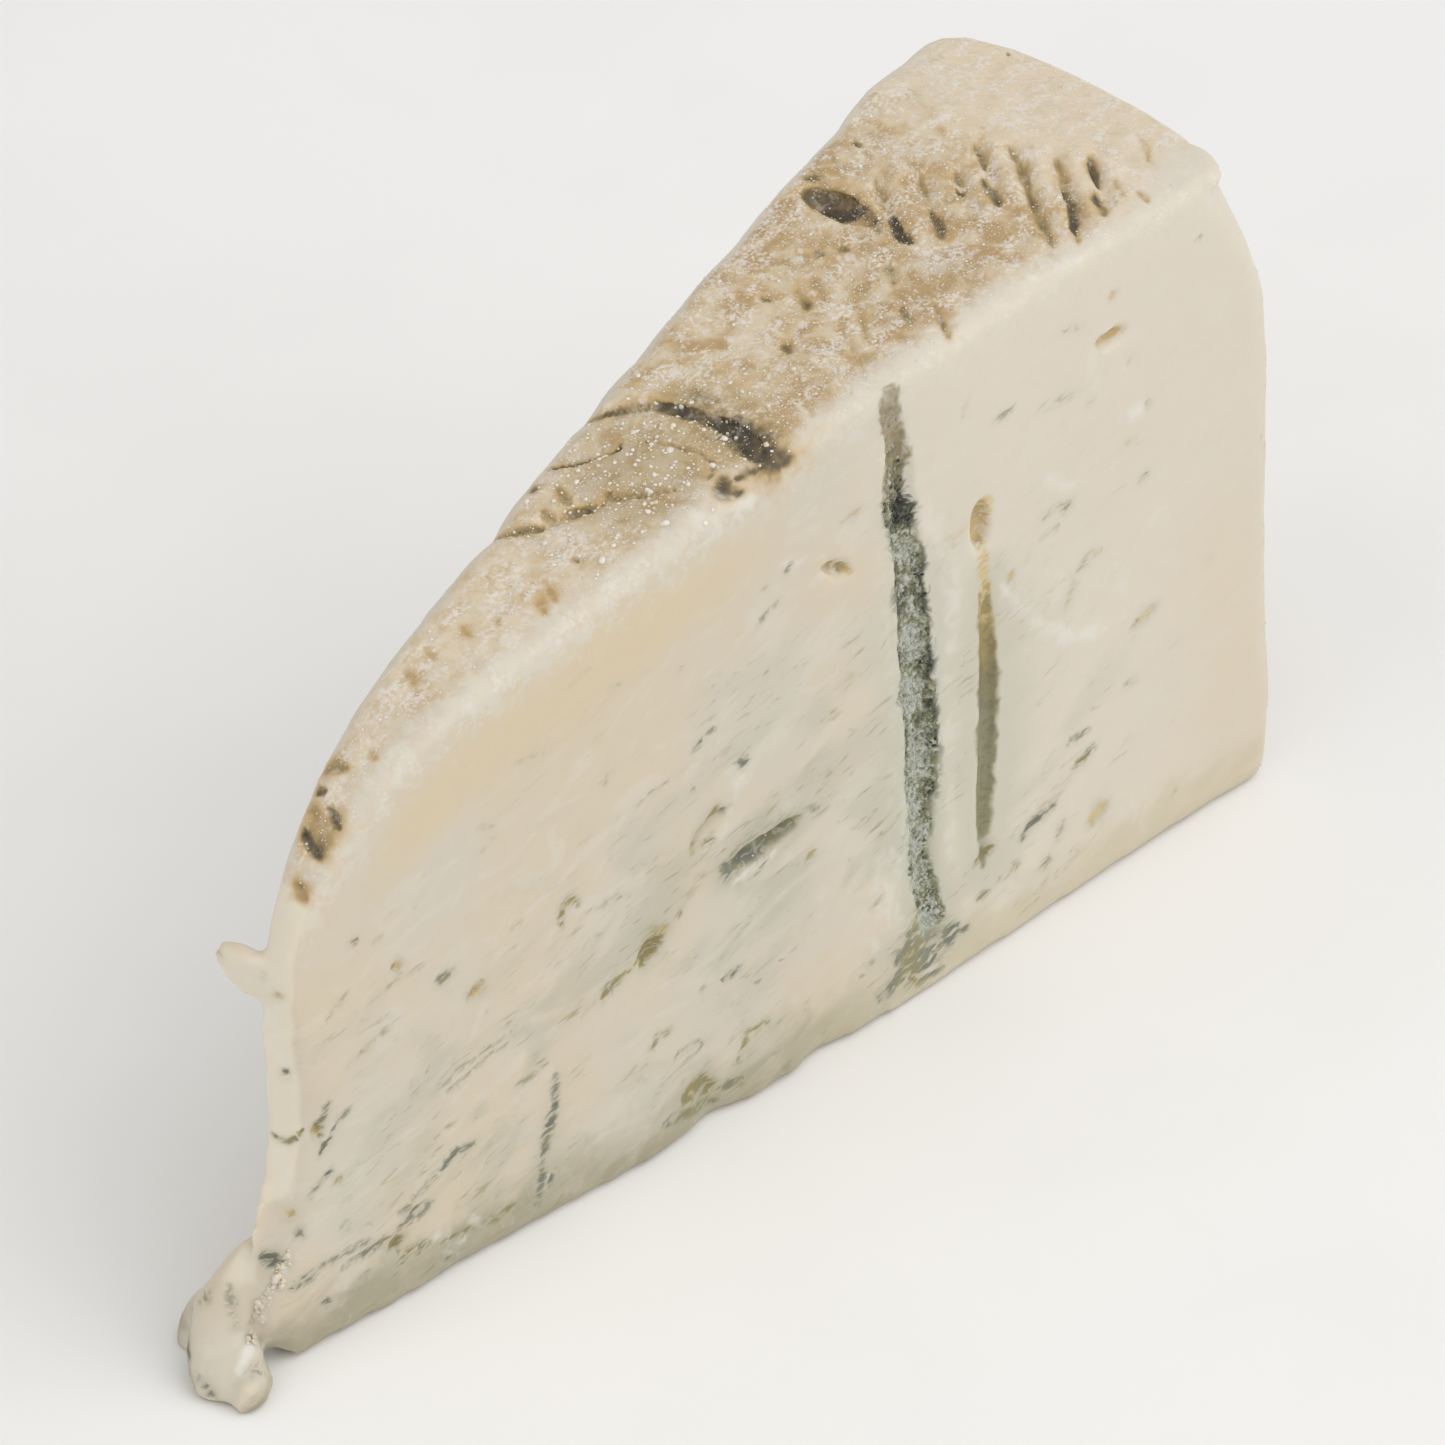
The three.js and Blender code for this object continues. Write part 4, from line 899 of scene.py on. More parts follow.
class Paint:
    """A material whose colour is built up in layers, over noises whose lumps have a size in mm.

    Layers and mixes go by shares, which are multiplied. A share is a value, or the name of a stored one. Or
    it is one of these with the two ends between which it rises, and the strength it rises to if not 1.
    """

    def __init__(self, name, colour):
        self.material = bpy.data.materials.new(name)
        self.material.use_nodes = True
        self.tree = self.material.node_tree
        self.tree.nodes.clear()
        self.colour = colour
        self.place = add_node(self.tree, "ShaderNodeTexCoord", output="Object")
        self.noises = {}

    def noise(self, size, detail=3, distortion=0.0, tilt=0.0, shift=0.0):
        """Noise from 0 to 1 in lumps of a size in mm, or of a size along each axis, turned by a tilt."""
        key = (size, detail, distortion, tilt, shift)
        if key not in self.noises:
            sizes = size if isinstance(size, tuple) else (size,) * 3
            place = add_node(self.tree, "ShaderNodeMapping", {
                "Vector": self.place,
                "Location": (shift, shift, shift),
                "Rotation": (0, -tilt, 0),
                "Scale": tuple(s * MM for s in sizes),
            }, vector_type="TEXTURE")
            self.noises[key] = add_node(self.tree, "ShaderNodeTexNoise", {
                "Vector": place, "Scale": 1.0, "Detail": detail, "Distortion": distortion,
            })
        return self.noises[key]

    def grains(self, size):
        """How far a place is from the middle of the nearest of many grains a size in mm apart."""
        place = add_node(self.tree, "ShaderNodeMapping", {
            "Vector": self.place, "Scale": (size * MM,) * 3,
        }, vector_type="TEXTURE")
        return add_node(self.tree, "ShaderNodeTexVoronoi", {"Vector": place, "Scale": 1.0}, "Distance")

    def where(self, *shares):
        """The product of some shares."""
        product = None
        for share in shares:
            if isinstance(share, tuple):
                value, low, high, strength = (*share, 1.0)[:4]
                share = add_node(self.tree, "ShaderNodeMapRange", {
                    "Value": value, "From Min": low, "From Max": high, "To Max": strength,
                }, interpolation_type="SMOOTHSTEP")
            if product is not None:
                share = add_node(self.tree, "ShaderNodeMath", {0: product, 1: share}, operation="MULTIPLY")
            product = share
        return product

    def ragged(self, value, noise, amount):
        """A value moved up and down by a noise."""
        lowered = add_node(self.tree, "ShaderNodeMath", {0: value, 1: amount / 2}, operation="SUBTRACT")
        return add_node(self.tree, "ShaderNodeMath", {
            0: noise, 1: amount, 2: lowered,
        }, operation="MULTIPLY_ADD")

    def broken(self, value, noise, amount):
        """A value made thicker and thinner by a noise, and left at nothing where there is nothing."""
        return self.where(value, add_node(self.tree, "ShaderNodeMath", {
            0: noise, 1: 2 * amount, 2: 1 - amount,
        }, operation="MULTIPLY_ADD"))

    def mixed(self, first, second, *shares):
        """One colour turned into another by the product of some shares."""
        first, second = (c if isinstance(c, bpy.types.NodeSocket) else (*c, 1) for c in (first, second))
        mix = {0: self.where(*shares), 6: first, 7: second}
        return add_node(self.tree, "ShaderNodeMix", mix, 2, data_type="RGBA")

    def lay(self, colour, *shares):
        """Lays a colour over what is there, by the product of some shares."""
        self.colour = self.mixed(self.colour, colour, *shares)

    def finished(self, inputs, height=None, strength=0.0, distance=0.0):
        """The material with its colour and inputs on a shader, and bumps over a distance in mm."""
        if height is not None:
            inputs["Normal"] = add_node(self.tree, "ShaderNodeBump", {
                "Height": height, "Strength": strength, "Distance": distance * MM,
            })
        inputs["Base Color"] = self.colour
        shader = add_node(self.tree, "ShaderNodeBsdfPrincipled", inputs, "BSDF")
        add_node(self.tree, "ShaderNodeOutputMaterial", {"Surface": shader})
        return self.material


# How far red, green and blue light spread in paste, as shares of its scale.
PASTE_RADIUS = (1.0, 0.72, 0.42)
# How dull bare paste is.
PASTE_ROUGHNESS = 0.42


def cheese_material(colours):
    """Gorgonzola dolce, cut with a wire and washed on the rind with brine.

    The cut is fatty and waxes over, so it has a soft sheen, and light goes a millimetre or two into it,
    which makes thin edges glow cream. The washed rind is damp, tacky and mottled. Mould is matt and
    swallows light.
    """
    paint = Paint("Gorgonzola dolce, wire-cut paste and washed rind", colours.paste)
    tree = paint.tree
    patches = paint.noise(17, 2)
    paint.lay(colours.paste_warm, (patches, 0.4, 0.68, 0.8))
    paint.lay(colours.paste_cool, (patches, 0.5, 0.3, 0.35))
    paint.lay(colours.paste_firm, ("firm", 0.0, 1.0, 0.85))
    curd = paint.noise((8, 6, 3.4), 4, 1.2, BEDDING_TILT)
    paint.lay(colours.paste_light, (curd, 0.5, 0.7, 0.45))
    paint.lay(colours.paste_band, ("warm", 0.1, 0.95, 0.85))
    # Painted shade along the foot of the cuts and over the base, lighter at the thick end.
    low_shade_colour = paint.mixed(colours.paste_low_shade, colours.paste_foot_shade, ("firm", -0.25, 0.75))
    paint.lay(low_shade_colour, (paint.ragged("low", curd, 1.3), 0.15, 1.0, 0.85))
    # A white film lies in grains on the rind, and a little of it on the pale edges of the cuts.
    grit = paint.noise(0.9, 3)
    grains = paint.where((paint.grains(0.5), 0.4, 0.12, 0.75))
    film = add_node(tree, "ShaderNodeMath", {
        0: grains, 1: paint.where((grit, 0.5, 0.66, 0.6)),
    }, operation="MAXIMUM")
    film = paint.where(film, (paint.noise(2.4, 3, 0.3, shift=0.9), 0.44, 0.6))
    crumbs = paint.where((paint.noise(2.1, 4, 0.8, shift=1.9), 0.38, 0.62))
    pale = paint.where((paint.ragged(paint.ragged("pale", grit, 0.8), crumbs, 0.7), 0.25, 0.95, 0.9))
    paint.lay(colours.paste_pale, pale)
    paint.lay(colours.film, film, "pale")
    paint.lay(colours.nose_cream, ("nose", 0.2, 0.8, 0.85))

    # Smoky patches of mould in the paste, and fine dashes drawn out along the bedding of the curd.
    clouded = paint.where("marbling", (paint.noise((13, 9, 6), 3, 0.6, BEDDING_TILT, 0.7), 0.36, 0.68))
    paint.lay(colours.paste_smoky, (clouded, 0.0, 1.0, 0.55))
    paint.lay(colours.paste_grey, (paint.ragged("greyed", curd, 0.5), 0.1, 0.9, 0.75))
    paint.lay(colours.paste_smoky, ("haze", 0.0, 0.6, 0.75))
    streaks = paint.noise((3.4, 2.4, 0.75), 4, 0.9, BEDDING_TILT, 1.7)
    dash_tone = (paint.noise(6, 1, shift=0.7), 0.3, 0.52)
    dash_colour = paint.mixed(colours.mould_blue, colours.dash_olive, dash_tone)
    paint.lay(dash_colour, (streaks, 0.56, 0.8, 0.8), (clouded, 0.0, 0.5))

    # The rind, mottled tan and pinkish brown under its film.
    rind = paint.where((paint.ragged("rind", grit, 0.9), 0.1, 0.95))
    mottles = paint.noise(2.6, 3, 0.5)
    blotches = paint.where((paint.ragged("crust", mottles, 2.4), -0.5, 1.5))
    rind_colour = add_node(tree, "ShaderNodeValToRGB", {"Fac": blotches}, "Color", (
        (0.12, colours.rind_pale), (0.42, colours.rind), (0.66, colours.rind_ruddy),
        (0.9, colours.rind_deep),
    ))
    paint.lay(paint.mixed(rind_colour, colours.film, film), rind)
    paint.lay(colours.rind_fold, ("fold", 0.15, 0.9, 0.5), rind)
    # Its stains: amber around, darker the thicker they are, and dusted with film between them.
    specks = paint.where((paint.noise(0.8, 4, 0.4, shift=1.3), 0.38, 0.62))
    blots = paint.noise(2.2, 2, shift=0.6)
    soil = paint.broken(paint.broken("soil", specks, 0.15), blots, 0.9)
    darkness = add_node(tree, "ShaderNodeMath", {0: 1.2, 1: "tone"}, operation="SUBTRACT")
    thick = paint.where(soil, darkness)
    soil_colour = add_node(tree, "ShaderNodeValToRGB", {"Fac": thick}, "Color", (
        (0.06, colours.soil_tan), (0.32, colours.soil_olive), (0.6, colours.soil_brown),
        (0.95, colours.soil_black),
    ))
    paint.lay(colours.soil_tan, (paint.broken("amber", blots, 1.2), 0.1, 0.8, 0.7))
    paint.lay(soil_colour, (soil, 0.02, 0.55, 0.92))
    smears = (paint.noise((3.4, 2.2, 3), 2, shift=2.9), 0.44, 0.64)
    dust = (paint.noise(0.45, 4, shift=0.4), 0.44, 0.6, 0.8)
    paint.lay(colours.film, smears, dust, rind, paint.where((soil, 0.5, 0.1), ("fold", 1.1, 0.1)))
    paint.lay(colours.film, film, rind, (soil, 0.1, 0.5, 0.45))

    # Chalky places, then stains and mould in the paste by tone. Stains break up into flecks.
    paint.lay(colours.chalk, (paint.ragged("chalk", crumbs, 0.3), 0.1, 1.0, 0.8))
    tone = paint.ragged("tone", mottles, 1.1)
    stain_colour = add_node(tree, "ShaderNodeValToRGB", {"Fac": tone}, "Color", (
        (0.0, colours.mould_dark), (0.2, colours.mould_blue), (0.38, colours.mould_grey),
        (0.62, colours.mould_olive), (0.93, colours.pit_yellow),
    ))
    flecks = paint.where((paint.noise((1.5, 1.1, 0.5), 3, 0.6, BEDDING_TILT, 2.3), 0.36, 0.64))
    paint.lay(stain_colour, (paint.broken("stain", flecks, 0.6), 0.06, 0.8, 0.9))
    # The narrow vein is a channel, yellow at its top and paler and greyer down it.
    up = add_node(tree, "ShaderNodeSeparateXYZ", {0: paint.place}, "Z")
    up = paint.ragged(paint.where((up, 10 * MM, 48 * MM)), mottles, 0.4)
    channel_colour = add_node(tree, "ShaderNodeValToRGB", {"Fac": up}, "Color", (
        (0.1, colours.channel_pale), (0.4, colours.channel_grey), (0.74, colours.channel_dark),
        (0.86, colours.channel_yellow), (0.93, colours.channel_yellow), (1.0, colours.pit_yellow),
    ))
    channel = paint.where((paint.ragged("channel", blots, 0.7), 0.25, 0.6, 0.92))
    paint.lay(channel_colour, channel)
    paint.lay(colours.mould_dark, channel, (specks, 0.5, 0.9, 0.35))

    # The veins: crinkled, frosted with spores, and dried to olive at the top. Painted shade turns the dark
    # mould black in their folds.
    crinkles = paint.noise(1.5, 4, 1.4, shift=0.8)
    # Painted shade: where the crinkles dip in the bump, the frost share falls and the vein turns black.
    frost = paint.ragged("frost", crinkles, 2.6)
    vein_colour = add_node(tree, "ShaderNodeValToRGB", {"Fac": frost}, "Color", (
        (0.0, colours.mould_black_and_fold_shade), (0.28, colours.mould_dark), (0.55, colours.mould_grey),
        (0.95, colours.frost),
    ))
    top = (paint.ragged("vein_top", crinkles, 0.6), 0.05, 0.8, 0.92)
    vein_colour = paint.mixed(vein_colour, colours.vein_olive, top)
    paint.lay(colours.paste_cool, ("vein", 0.02, 0.4, 0.35))
    dried = (paint.ragged("vein_top", blots, 1.2), 1.8, 0.7)
    vein = paint.where((paint.ragged("vein", crinkles, 0.7), 0.3, 0.56, 0.96), dried)
    paint.lay(vein_colour, vein)

    # The pale edges, stains, grit and mould are duller than bare paste, and the damp rind is glossier.
    dull = paint.where(("stain", 0.2, 0.8, 0.25))
    dull = add_node(tree, "ShaderNodeMath", {0: pale, 1: 0.22, 2: dull}, operation="MULTIPLY_ADD")
    roughness = add_node(tree, "ShaderNodeMath", {0: PASTE_ROUGHNESS, 1: dull}, operation="ADD")
    for share, change in ((grit, 0.14), (rind, -0.1), (vein, 0.4)):
        roughness = add_node(tree, "ShaderNodeMath", {
            0: share, 1: change, 2: roughness,
        }, operation="MULTIPLY_ADD")
    depth = add_node(tree, "ShaderNodeMath", {0: "rind", 1: 2.2, 2: 0.3}, operation="MULTIPLY_ADD")
    height = paint.where(paint.noise(0.7, 4, shift=0.2), depth)
    height = add_node(tree, "ShaderNodeMath", {
        0: paint.where("vein", crinkles), 1: 4.0, 2: height,
    }, operation="MULTIPLY_ADD")
    return paint.finished({
        "Roughness": roughness,
        "Subsurface Weight": 0.6,
        "Subsurface Radius": PASTE_RADIUS,
        "Subsurface Scale": 1.6 * MM,
        "Specular IOR Level": 0.45,
    }, height, 0.6, 0.12)


# The rounds in which the skin is made finer: how much wider than drawn the marks count, and the least
# share of a mark or an edge that gets the finer skin.
DETAIL_ROUNDS = ((2.6, 0.12), (1.3, 0.55))
# The rind, the nose and the top edge, which reaches so far in mm, are made finer only in rounds that
# widen marks more than this.
FINE_REACH = 1.6
TOP_EDGE_REACH = 3.5
# Shares of the two moves of a round of smoothing, which evens out facets and keeps the size.
SMOOTH_IN = 0.55
SMOOTH_OUT = -0.57
SMOOTH_ROUNDS = 24
# How the top edges of the cuts are worn round: how far in mm, how strongly, in how many rounds, and
# between which distances from the axis that fades out.
EDGE_REACH = 2.4
EDGE_STRENGTH = 0.6
EDGE_ROUNDS = 14
EDGE_RADII = (137, 130)


def detail_share(skin, solid, widening):
    """Share of fine detail at each point: along marks and veins, on the rind, the nose and the top edges."""
    sides = side_shares(skin)
    depth = np.abs(top_height(np.hypot(*skin.points.T[:2])) - skin.points[:, 2])
    edge = bell((depth + np.abs(skin.points @ NEAR_OUT)) / TOP_EDGE_REACH)
    share = (sides["top"] + sides["nose"] + edge) * (widening > FINE_REACH)
    for side, half_width, *_, path in VEINS + PITS:
        lined = stroke_share(skin.points, solid.on_cut(side, path), widening * half_width)
        share = np.maximum(share, lined)
    for on, marks in (
        (cut_place(solid, NEAR), CUT_MARKS), (solid.on_rind, RIND_MARKS),
        (list, EDGE_MARKS + FOLD_MARKS), (list, scattered_marks(solid)),
    ):
        for strength, _, mark in strokes(skin.points, on, marks, widening):
            share = np.maximum(share, strength * mark)
    for half_width, _, path in TORN_EDGE:
        share = np.maximum(share, stroke_share(skin.points, path, widening * half_width))
    return share


def edge_share(points):
    """Share by which each point is drawn in, along the top edges of the two cuts."""
    radius = np.hypot(*points.T[:2])
    depth = np.abs(top_height(radius) - points[:, 2])
    gap = np.minimum(np.abs(points @ NEAR_OUT), np.abs(points @ FAR_OUT))
    return (EDGE_STRENGTH * bell((depth + gap) / EDGE_REACH) * smoothstep(*EDGE_RADII, radius))[:, None]


def build_wedge(sizes, colours):
    """The wedge's visible piece, over the whole of its solid."""
    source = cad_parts["wedge"]
    solid = Solid(source.data)
    mesh = stepped_skin(source.data, sizes.skin_step)
    for widening, least in DETAIL_ROUNDS:
        skin = Skin(mesh)
        mesh = subdivided(mesh, detail_share(skin, solid, widening) > least)
    skin = Skin(mesh)
    skin.points = solid.laid_on(skin.points, skin.normals)
    for _ in range(SMOOTH_ROUNDS):
        skin.points = skin.pulled(skin.points, SMOOTH_IN)
        skin.points = skin.pulled(skin.points, SMOOTH_OUT)
    edge = edge_share(skin.points)
    for _ in range(EDGE_ROUNDS):
        skin.points += edge * (skin.pulled(skin.points, 1.0) - skin.points)
    skin.write_points()
    looks = Looks(skin, solid)
    skin.points += skin.normals * (sizes.relief * looks.relief(skin.points))[:, None]
    skin.write_points()
    looks.write(skin)
    mesh.name = "wedge_skin"
    mesh.polygons.foreach_set("use_smooth", np.ones(len(mesh.polygons), bool))
    mesh.materials.clear()
    mesh.materials.append(cheese_material(colours))
    piece = linked("wedge_cheese", mesh)
    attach(piece, "root")
    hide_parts("wedge")
    return piece


# How far from the middle of a face a place on it may lie, as a share of the way to a corner.
PLACE_SPREAD = 0.6
# How closely the bumps of a lump follow each other, and how much a lump is stretched sideways.
LUMP_BUMPS = 2.2
LUMP_STRETCH = (0.85, 1.18)
# Kinds of lumps: fineness of the mesh, spread of the radii, share of the radius by which a lump is sunk,
# flatness and roughness.
CRYSTAL_LUMP = (1, 0.4, 0.1, 0.7, 0.12)
BEAD_LUMP = (2, 0.4, 0.1, 0.7, 0.12)
CRUMB_LUMP = (2, 0.35, 0.0, 0.75, 0.3)
TUFT_LUMP = (1, 0.3, 0.2, 0.8, 0.25)


def surface_places(mesh, names, chance):
    """A place on each face with the face's normal, and the face's area and some attributes there."""
    centres = read(mesh.polygons, "center", 3)
    corners = read(mesh.polygons, "loop_start", kind=np.int32)
    vertices = read(mesh.loops, "vertex_index", kind=np.int32)
    points = read(mesh.vertices, "co", 3)
    first, second = (points[vertices[corners + i]] - centres for i in (0, 1))
    shifts = chance.uniform(-PLACE_SPREAD, PLACE_SPREAD, (2, len(centres), 1))
    centres = centres + shifts[0] * first + shifts[1] * second
    values = {name: read(mesh.attributes[name].data, "value")[vertices[corners]] for name in names}
    return (centres, read(mesh.polygons, "normal", 3)), read(mesh.polygons, "area") / MM ** 2, values


def lump_shape(level):
    """Vertices and triangles of a unit lump."""
    work = bmesh.new()
    bmesh.ops.create_icosphere(work, subdivisions=level, radius=1)
    points = np.array([v.co for v in work.verts])
    triangles = np.array([[v.index for v in f.verts] for f in work.faces])
    work.free()
    return points, triangles


def lumps(name, kind, places, normals, radii, chance):
    """One mesh of many small uneven lumps, and how many vertices a lump has."""
    level, _, _, flatness, roughness = kind
    shape, triangles = lump_shape(level)
    count, corners = len(places), len(shape)
    points = np.repeat(shape[None], count, axis=0)
    for _ in range(2):
        direction = chance.normal(size=(count, 1, 3))
        points = points * (1 + roughness * np.sin((points * direction * LUMP_BUMPS).sum(axis=2))[..., None])
    normals = normals / np.linalg.norm(normals, axis=1)[:, None]
    sideways = np.cross(normals, chance.normal(size=(count, 3)))
    sideways /= np.linalg.norm(sideways, axis=1)[:, None]
    other = np.cross(normals, sideways)
    stretch = chance.uniform(*LUMP_STRETCH, (count, 1))
    points = (
        points[..., 0:1] * (sideways * stretch)[:, None]
        + points[..., 1:2] * (other / stretch)[:, None]
        + points[..., 2:3] * (normals * flatness)[:, None]
    )
    points = points * (radii * MM)[:, None, None] + places[:, None]
    faces = (triangles[None] + (np.arange(count) * corners)[:, None, None]).reshape(-1, 3)
    mesh = bpy.data.meshes.new(name)
    mesh.vertices.add(count * corners)
    mesh.vertices.foreach_set("co", np.clip(points.reshape(-1, 3), CAD_BOX[0], CAD_BOX[1]).ravel())
    mesh.loops.add(len(faces) * 3)
    mesh.loops.foreach_set("vertex_index", faces.ravel())
    mesh.polygons.add(len(faces))
    mesh.polygons.foreach_set("loop_start", np.arange(0, len(faces) * 3, 3))
    mesh.polygons.foreach_set("use_smooth", np.ones(len(faces), bool))
    mesh.update(calc_edges=True)
    return mesh, corners


def scattered(name, kind, amount, surface, share, chance, label, value, material):
    """A piece of lumps strewn over a surface by a share. Each lump has a value for its material."""
    count, radius = amount
    _, spread, sinking, _, _ = kind
    chosen = chance.choice(len(share), count, replace=False, p=share / share.sum())
    radii = radius / MM * chance.lognormal(0, spread, count)
    centres, normals = (rows[chosen] for rows in surface)
    places = centres - normals * (radii * sinking * MM)[:, None]
    values = value(chosen, places)
    mesh, corners = lumps(name, kind, places, normals, radii, chance)
    attribute = mesh.attributes.new(label, "FLOAT", "POINT")
    attribute.data.foreach_set("value", np.repeat(values, corners).astype(np.float32))
    mesh.materials.append(material)
    piece = linked(name, mesh)
    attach(piece, "root")


def crystal_material(colours):
    """Crystals of salt and tyrosine in the rind's smear.

    They are clear white and wet, so each one glints and lets light through its thin edge.
    """
    paint = Paint("Salt and tyrosine crystals", colours.crystal)
    paint.lay(colours.rind_pale, ("smeared", 0.3, 1.0, 0.75))
    return paint.finished({"Roughness": 0.22, "Specular IOR Level": 0.5}, paint.noise(0.15, 3), 0.5, 0.03)


def build_crystals(wedge, sizes, colours):
    """Crystals that stand in the rind, thickest where it is brown, and clear beads by its folds."""
    chance = np.random.default_rng(SEED + 20)
    surface, areas, values = surface_places(wedge.data, ("rind", "crust", "soil"), chance)
    places = surface[0] / MM - (AXIS_X, 0, 0)
    rind, soil = areas * values["rind"], values["soil"]
    clusters = smoothstep(-0.2, 0.55, fractal_noise(places, 4, SEED + 21))
    strewn = rind * (0.15 + values["crust"]) * (0.08 + clusters) * (1 - 0.8 * soil)
    fold_gap = np.linalg.norm((places - FOLD_PLACE) / FOLD_REACH, axis=1)
    by_fold = rind * bell(fold_gap) * (1 - 0.6 * soil)
    material = crystal_material(colours)
    for name, kind, amount, share in (
        ("rind_crystals", CRYSTAL_LUMP, (sizes.crystals, sizes.crystal_radius), strewn),
        ("rind_beads", BEAD_LUMP, (sizes.beads, sizes.bead_radius), by_fold),
    ):
        scattered(name, kind, amount, surface, share, chance, "smeared",
                  lambda chosen, _: chance.random(len(chosen)), material)


def crumb_material(colours):
    """Torn gorgonzola paste: dry on its broken faces, so it is paler and duller than the cut."""
    paint = Paint("Torn gorgonzola paste", colours.paste_warm)
    paint.lay(colours.nose_cream, ("chalky", 0.0, 0.8, 0.85))
    return paint.finished({
        "Roughness": 0.62,
        "Subsurface Weight": 0.2,
        "Subsurface Radius": PASTE_RADIUS,
        "Subsurface Scale": 0.15 * MM,
        "Specular IOR Level": 0.3,
    }, paint.noise(0.25, 4), 0.7, 0.06)


def build_crumbs(wedge, sizes, colours):
    """Crumbs that cling along the torn edge of the smear, at the foot of the nose."""
    chance = np.random.default_rng(SEED + 40)
    surface, areas, values = surface_places(wedge.data, ("torn",), chance)
    scattered("nose_crumbs", CRUMB_LUMP, (sizes.crumbs, sizes.crumb_radius), surface,
              areas * values["torn"] ** 2, chance, "chalky",
              lambda chosen, _: chance.random(len(chosen)), crumb_material(colours))


def mould_material(colours):
    """Penicillium roqueforti, sporing in an open vein.

    A felt of fine threads: quite matt, blue-green where it carries spores and frost white at the tips.
    """
    paint = Paint("Sporing blue mould", colours.mould_dark)
    tips = paint.ragged("tips", paint.noise(0.6, 4, 0.8), 0.9)
    paint.colour = add_node(paint.tree, "ShaderNodeValToRGB", {"Fac": tips}, "Color", (
        (0.1, colours.mould_black_and_fold_shade), (0.4, colours.mould_dark), (0.65, colours.mould_grey),
        (0.95, colours.frost),
    ))
    return paint.finished({
        "Roughness": 0.95,
        "Sheen Weight": 0.25,
        "Sheen Roughness": 0.6,
        "Specular IOR Level": 0.2,
    }, paint.noise(0.12, 4), 0.8, 0.05)


def build_mould(wedge, sizes, colours):
    """Tufts of mould that fill the open veins."""
    chance = np.random.default_rng(SEED + 30)
    surface, areas, values = surface_places(wedge.data, ("vein", "frost", "vein_top"), chance)
    share = areas * smoothstep(0.45, 0.8, values["vein"]) * (1 - 0.95 * values["vein_top"])

    def tips(chosen, places):
        """How frosted each tuft is: as the vein under it, in patches and a little by chance."""
        patches = 0.7 * fractal_noise(places / MM, 1.8, SEED + 31) + chance.normal(0, 0.08, len(chosen))
        return np.clip(values["frost"][chosen] + patches, 0, 1)

    scattered("vein_mould", TUFT_LUMP, (sizes.tufts, sizes.tuft_radius), surface, share, chance,
              "tips", tips, mould_material(colours))


# The camera: where it looks, from what azimuth and height, how far off, and its lens and film, in
# degrees, metres and mm.
VIEW_TARGET = Vector((7.711, 1.3135, 34.534)) * MM
VIEW_AZIMUTH = math.radians(-51.824)
VIEW_ELEVATION = math.radians(37)
VIEW_DISTANCE = 1.1
FILM_WIDTH = 36.0
LENS = 274.05

# Soft boxes: direction from the wedge, distance, width and power, in metres and watts.
LIGHTS = (
    ("key", (0.25, -0.8, 1.0), 1.6, 2.0, 15.0),
    ("side", (-1.0, 0.1, 0.8), 1.8, 2.0, 6.5),
)
WORLD_STRENGTH = 0.58
FLOOR_RADIUS = 4.0
FLOOR_STEPS = 64


def paper_material():
    """Matt white sweep paper: it scatters evenly and shows only a faint fibre."""
    paint = Paint("Matt white sweep paper", hex_colour("#F4F3F1"))
    paint.lay(hex_colour("#F1F0EE"), (paint.noise(40, 3), 0.4, 0.6, 0.5))
    return paint.finished({"Roughness": 0.9})


def build_stage():
    """Floor, soft light and camera."""
    work = bmesh.new()
    bmesh.ops.create_circle(work, cap_ends=True, segments=FLOOR_STEPS, radius=FLOOR_RADIUS)
    mesh = bpy.data.meshes.new("floor")
    work.to_mesh(mesh)
    work.free()
    floor = linked("floor", mesh)
    mesh.materials.append(paper_material())
    scene = bpy.context.scene
    world = bpy.data.worlds.new("Soft studio")
    world.use_nodes = True
    background = world.node_tree.nodes["Background"]
    background.inputs["Color"].default_value = (1, 1, 1, 1)
    background.inputs["Strength"].default_value = WORLD_STRENGTH
    scene.world = world
    for name, direction, distance, width, power in LIGHTS:
        light = bpy.data.lights.new(name, "AREA")
        light.size = width
        light.energy = power
        lamp = linked(name, light)
        lamp.location = Vector(direction).normalized() * distance
        lamp.rotation_euler = (-lamp.location).to_track_quat("-Z", "Y").to_euler()
    camera = bpy.data.cameras.new("camera")
    camera.sensor_width = FILM_WIDTH
    camera.lens = LENS
    camera.clip_end = 20
    view = linked("camera", camera)
    cos = math.cos(VIEW_ELEVATION)
    back = Vector((math.sin(VIEW_AZIMUTH) * cos, -math.cos(VIEW_AZIMUTH) * cos, math.sin(VIEW_ELEVATION)))
    view.location = VIEW_TARGET + back * VIEW_DISTANCE
    view.rotation_euler = back.to_track_quat("Z", "Y").to_euler()
    scene.camera = view
    scene.view_settings.view_transform = "Standard"


def colour_property(label, description, text):
    """A colour that a user may change, with a hex colour as its default."""
    return FloatVectorProperty(
        name=label, description=description, subtype="COLOR", size=3, min=0, max=1, default=hex_colour(text)
    )


def length_property(label, description, default, low, high):
    """A length in mm that a user may change between two ends."""
    return FloatProperty(
        name=label, description=description, default=default * MM, min=low * MM, max=high * MM,
        unit="LENGTH", precision=5,
    )


def count_property(label, description, default, high):
    """A number of pieces that a user may change."""
    return IntProperty(name=label, description=description, default=default, min=1, max=high)


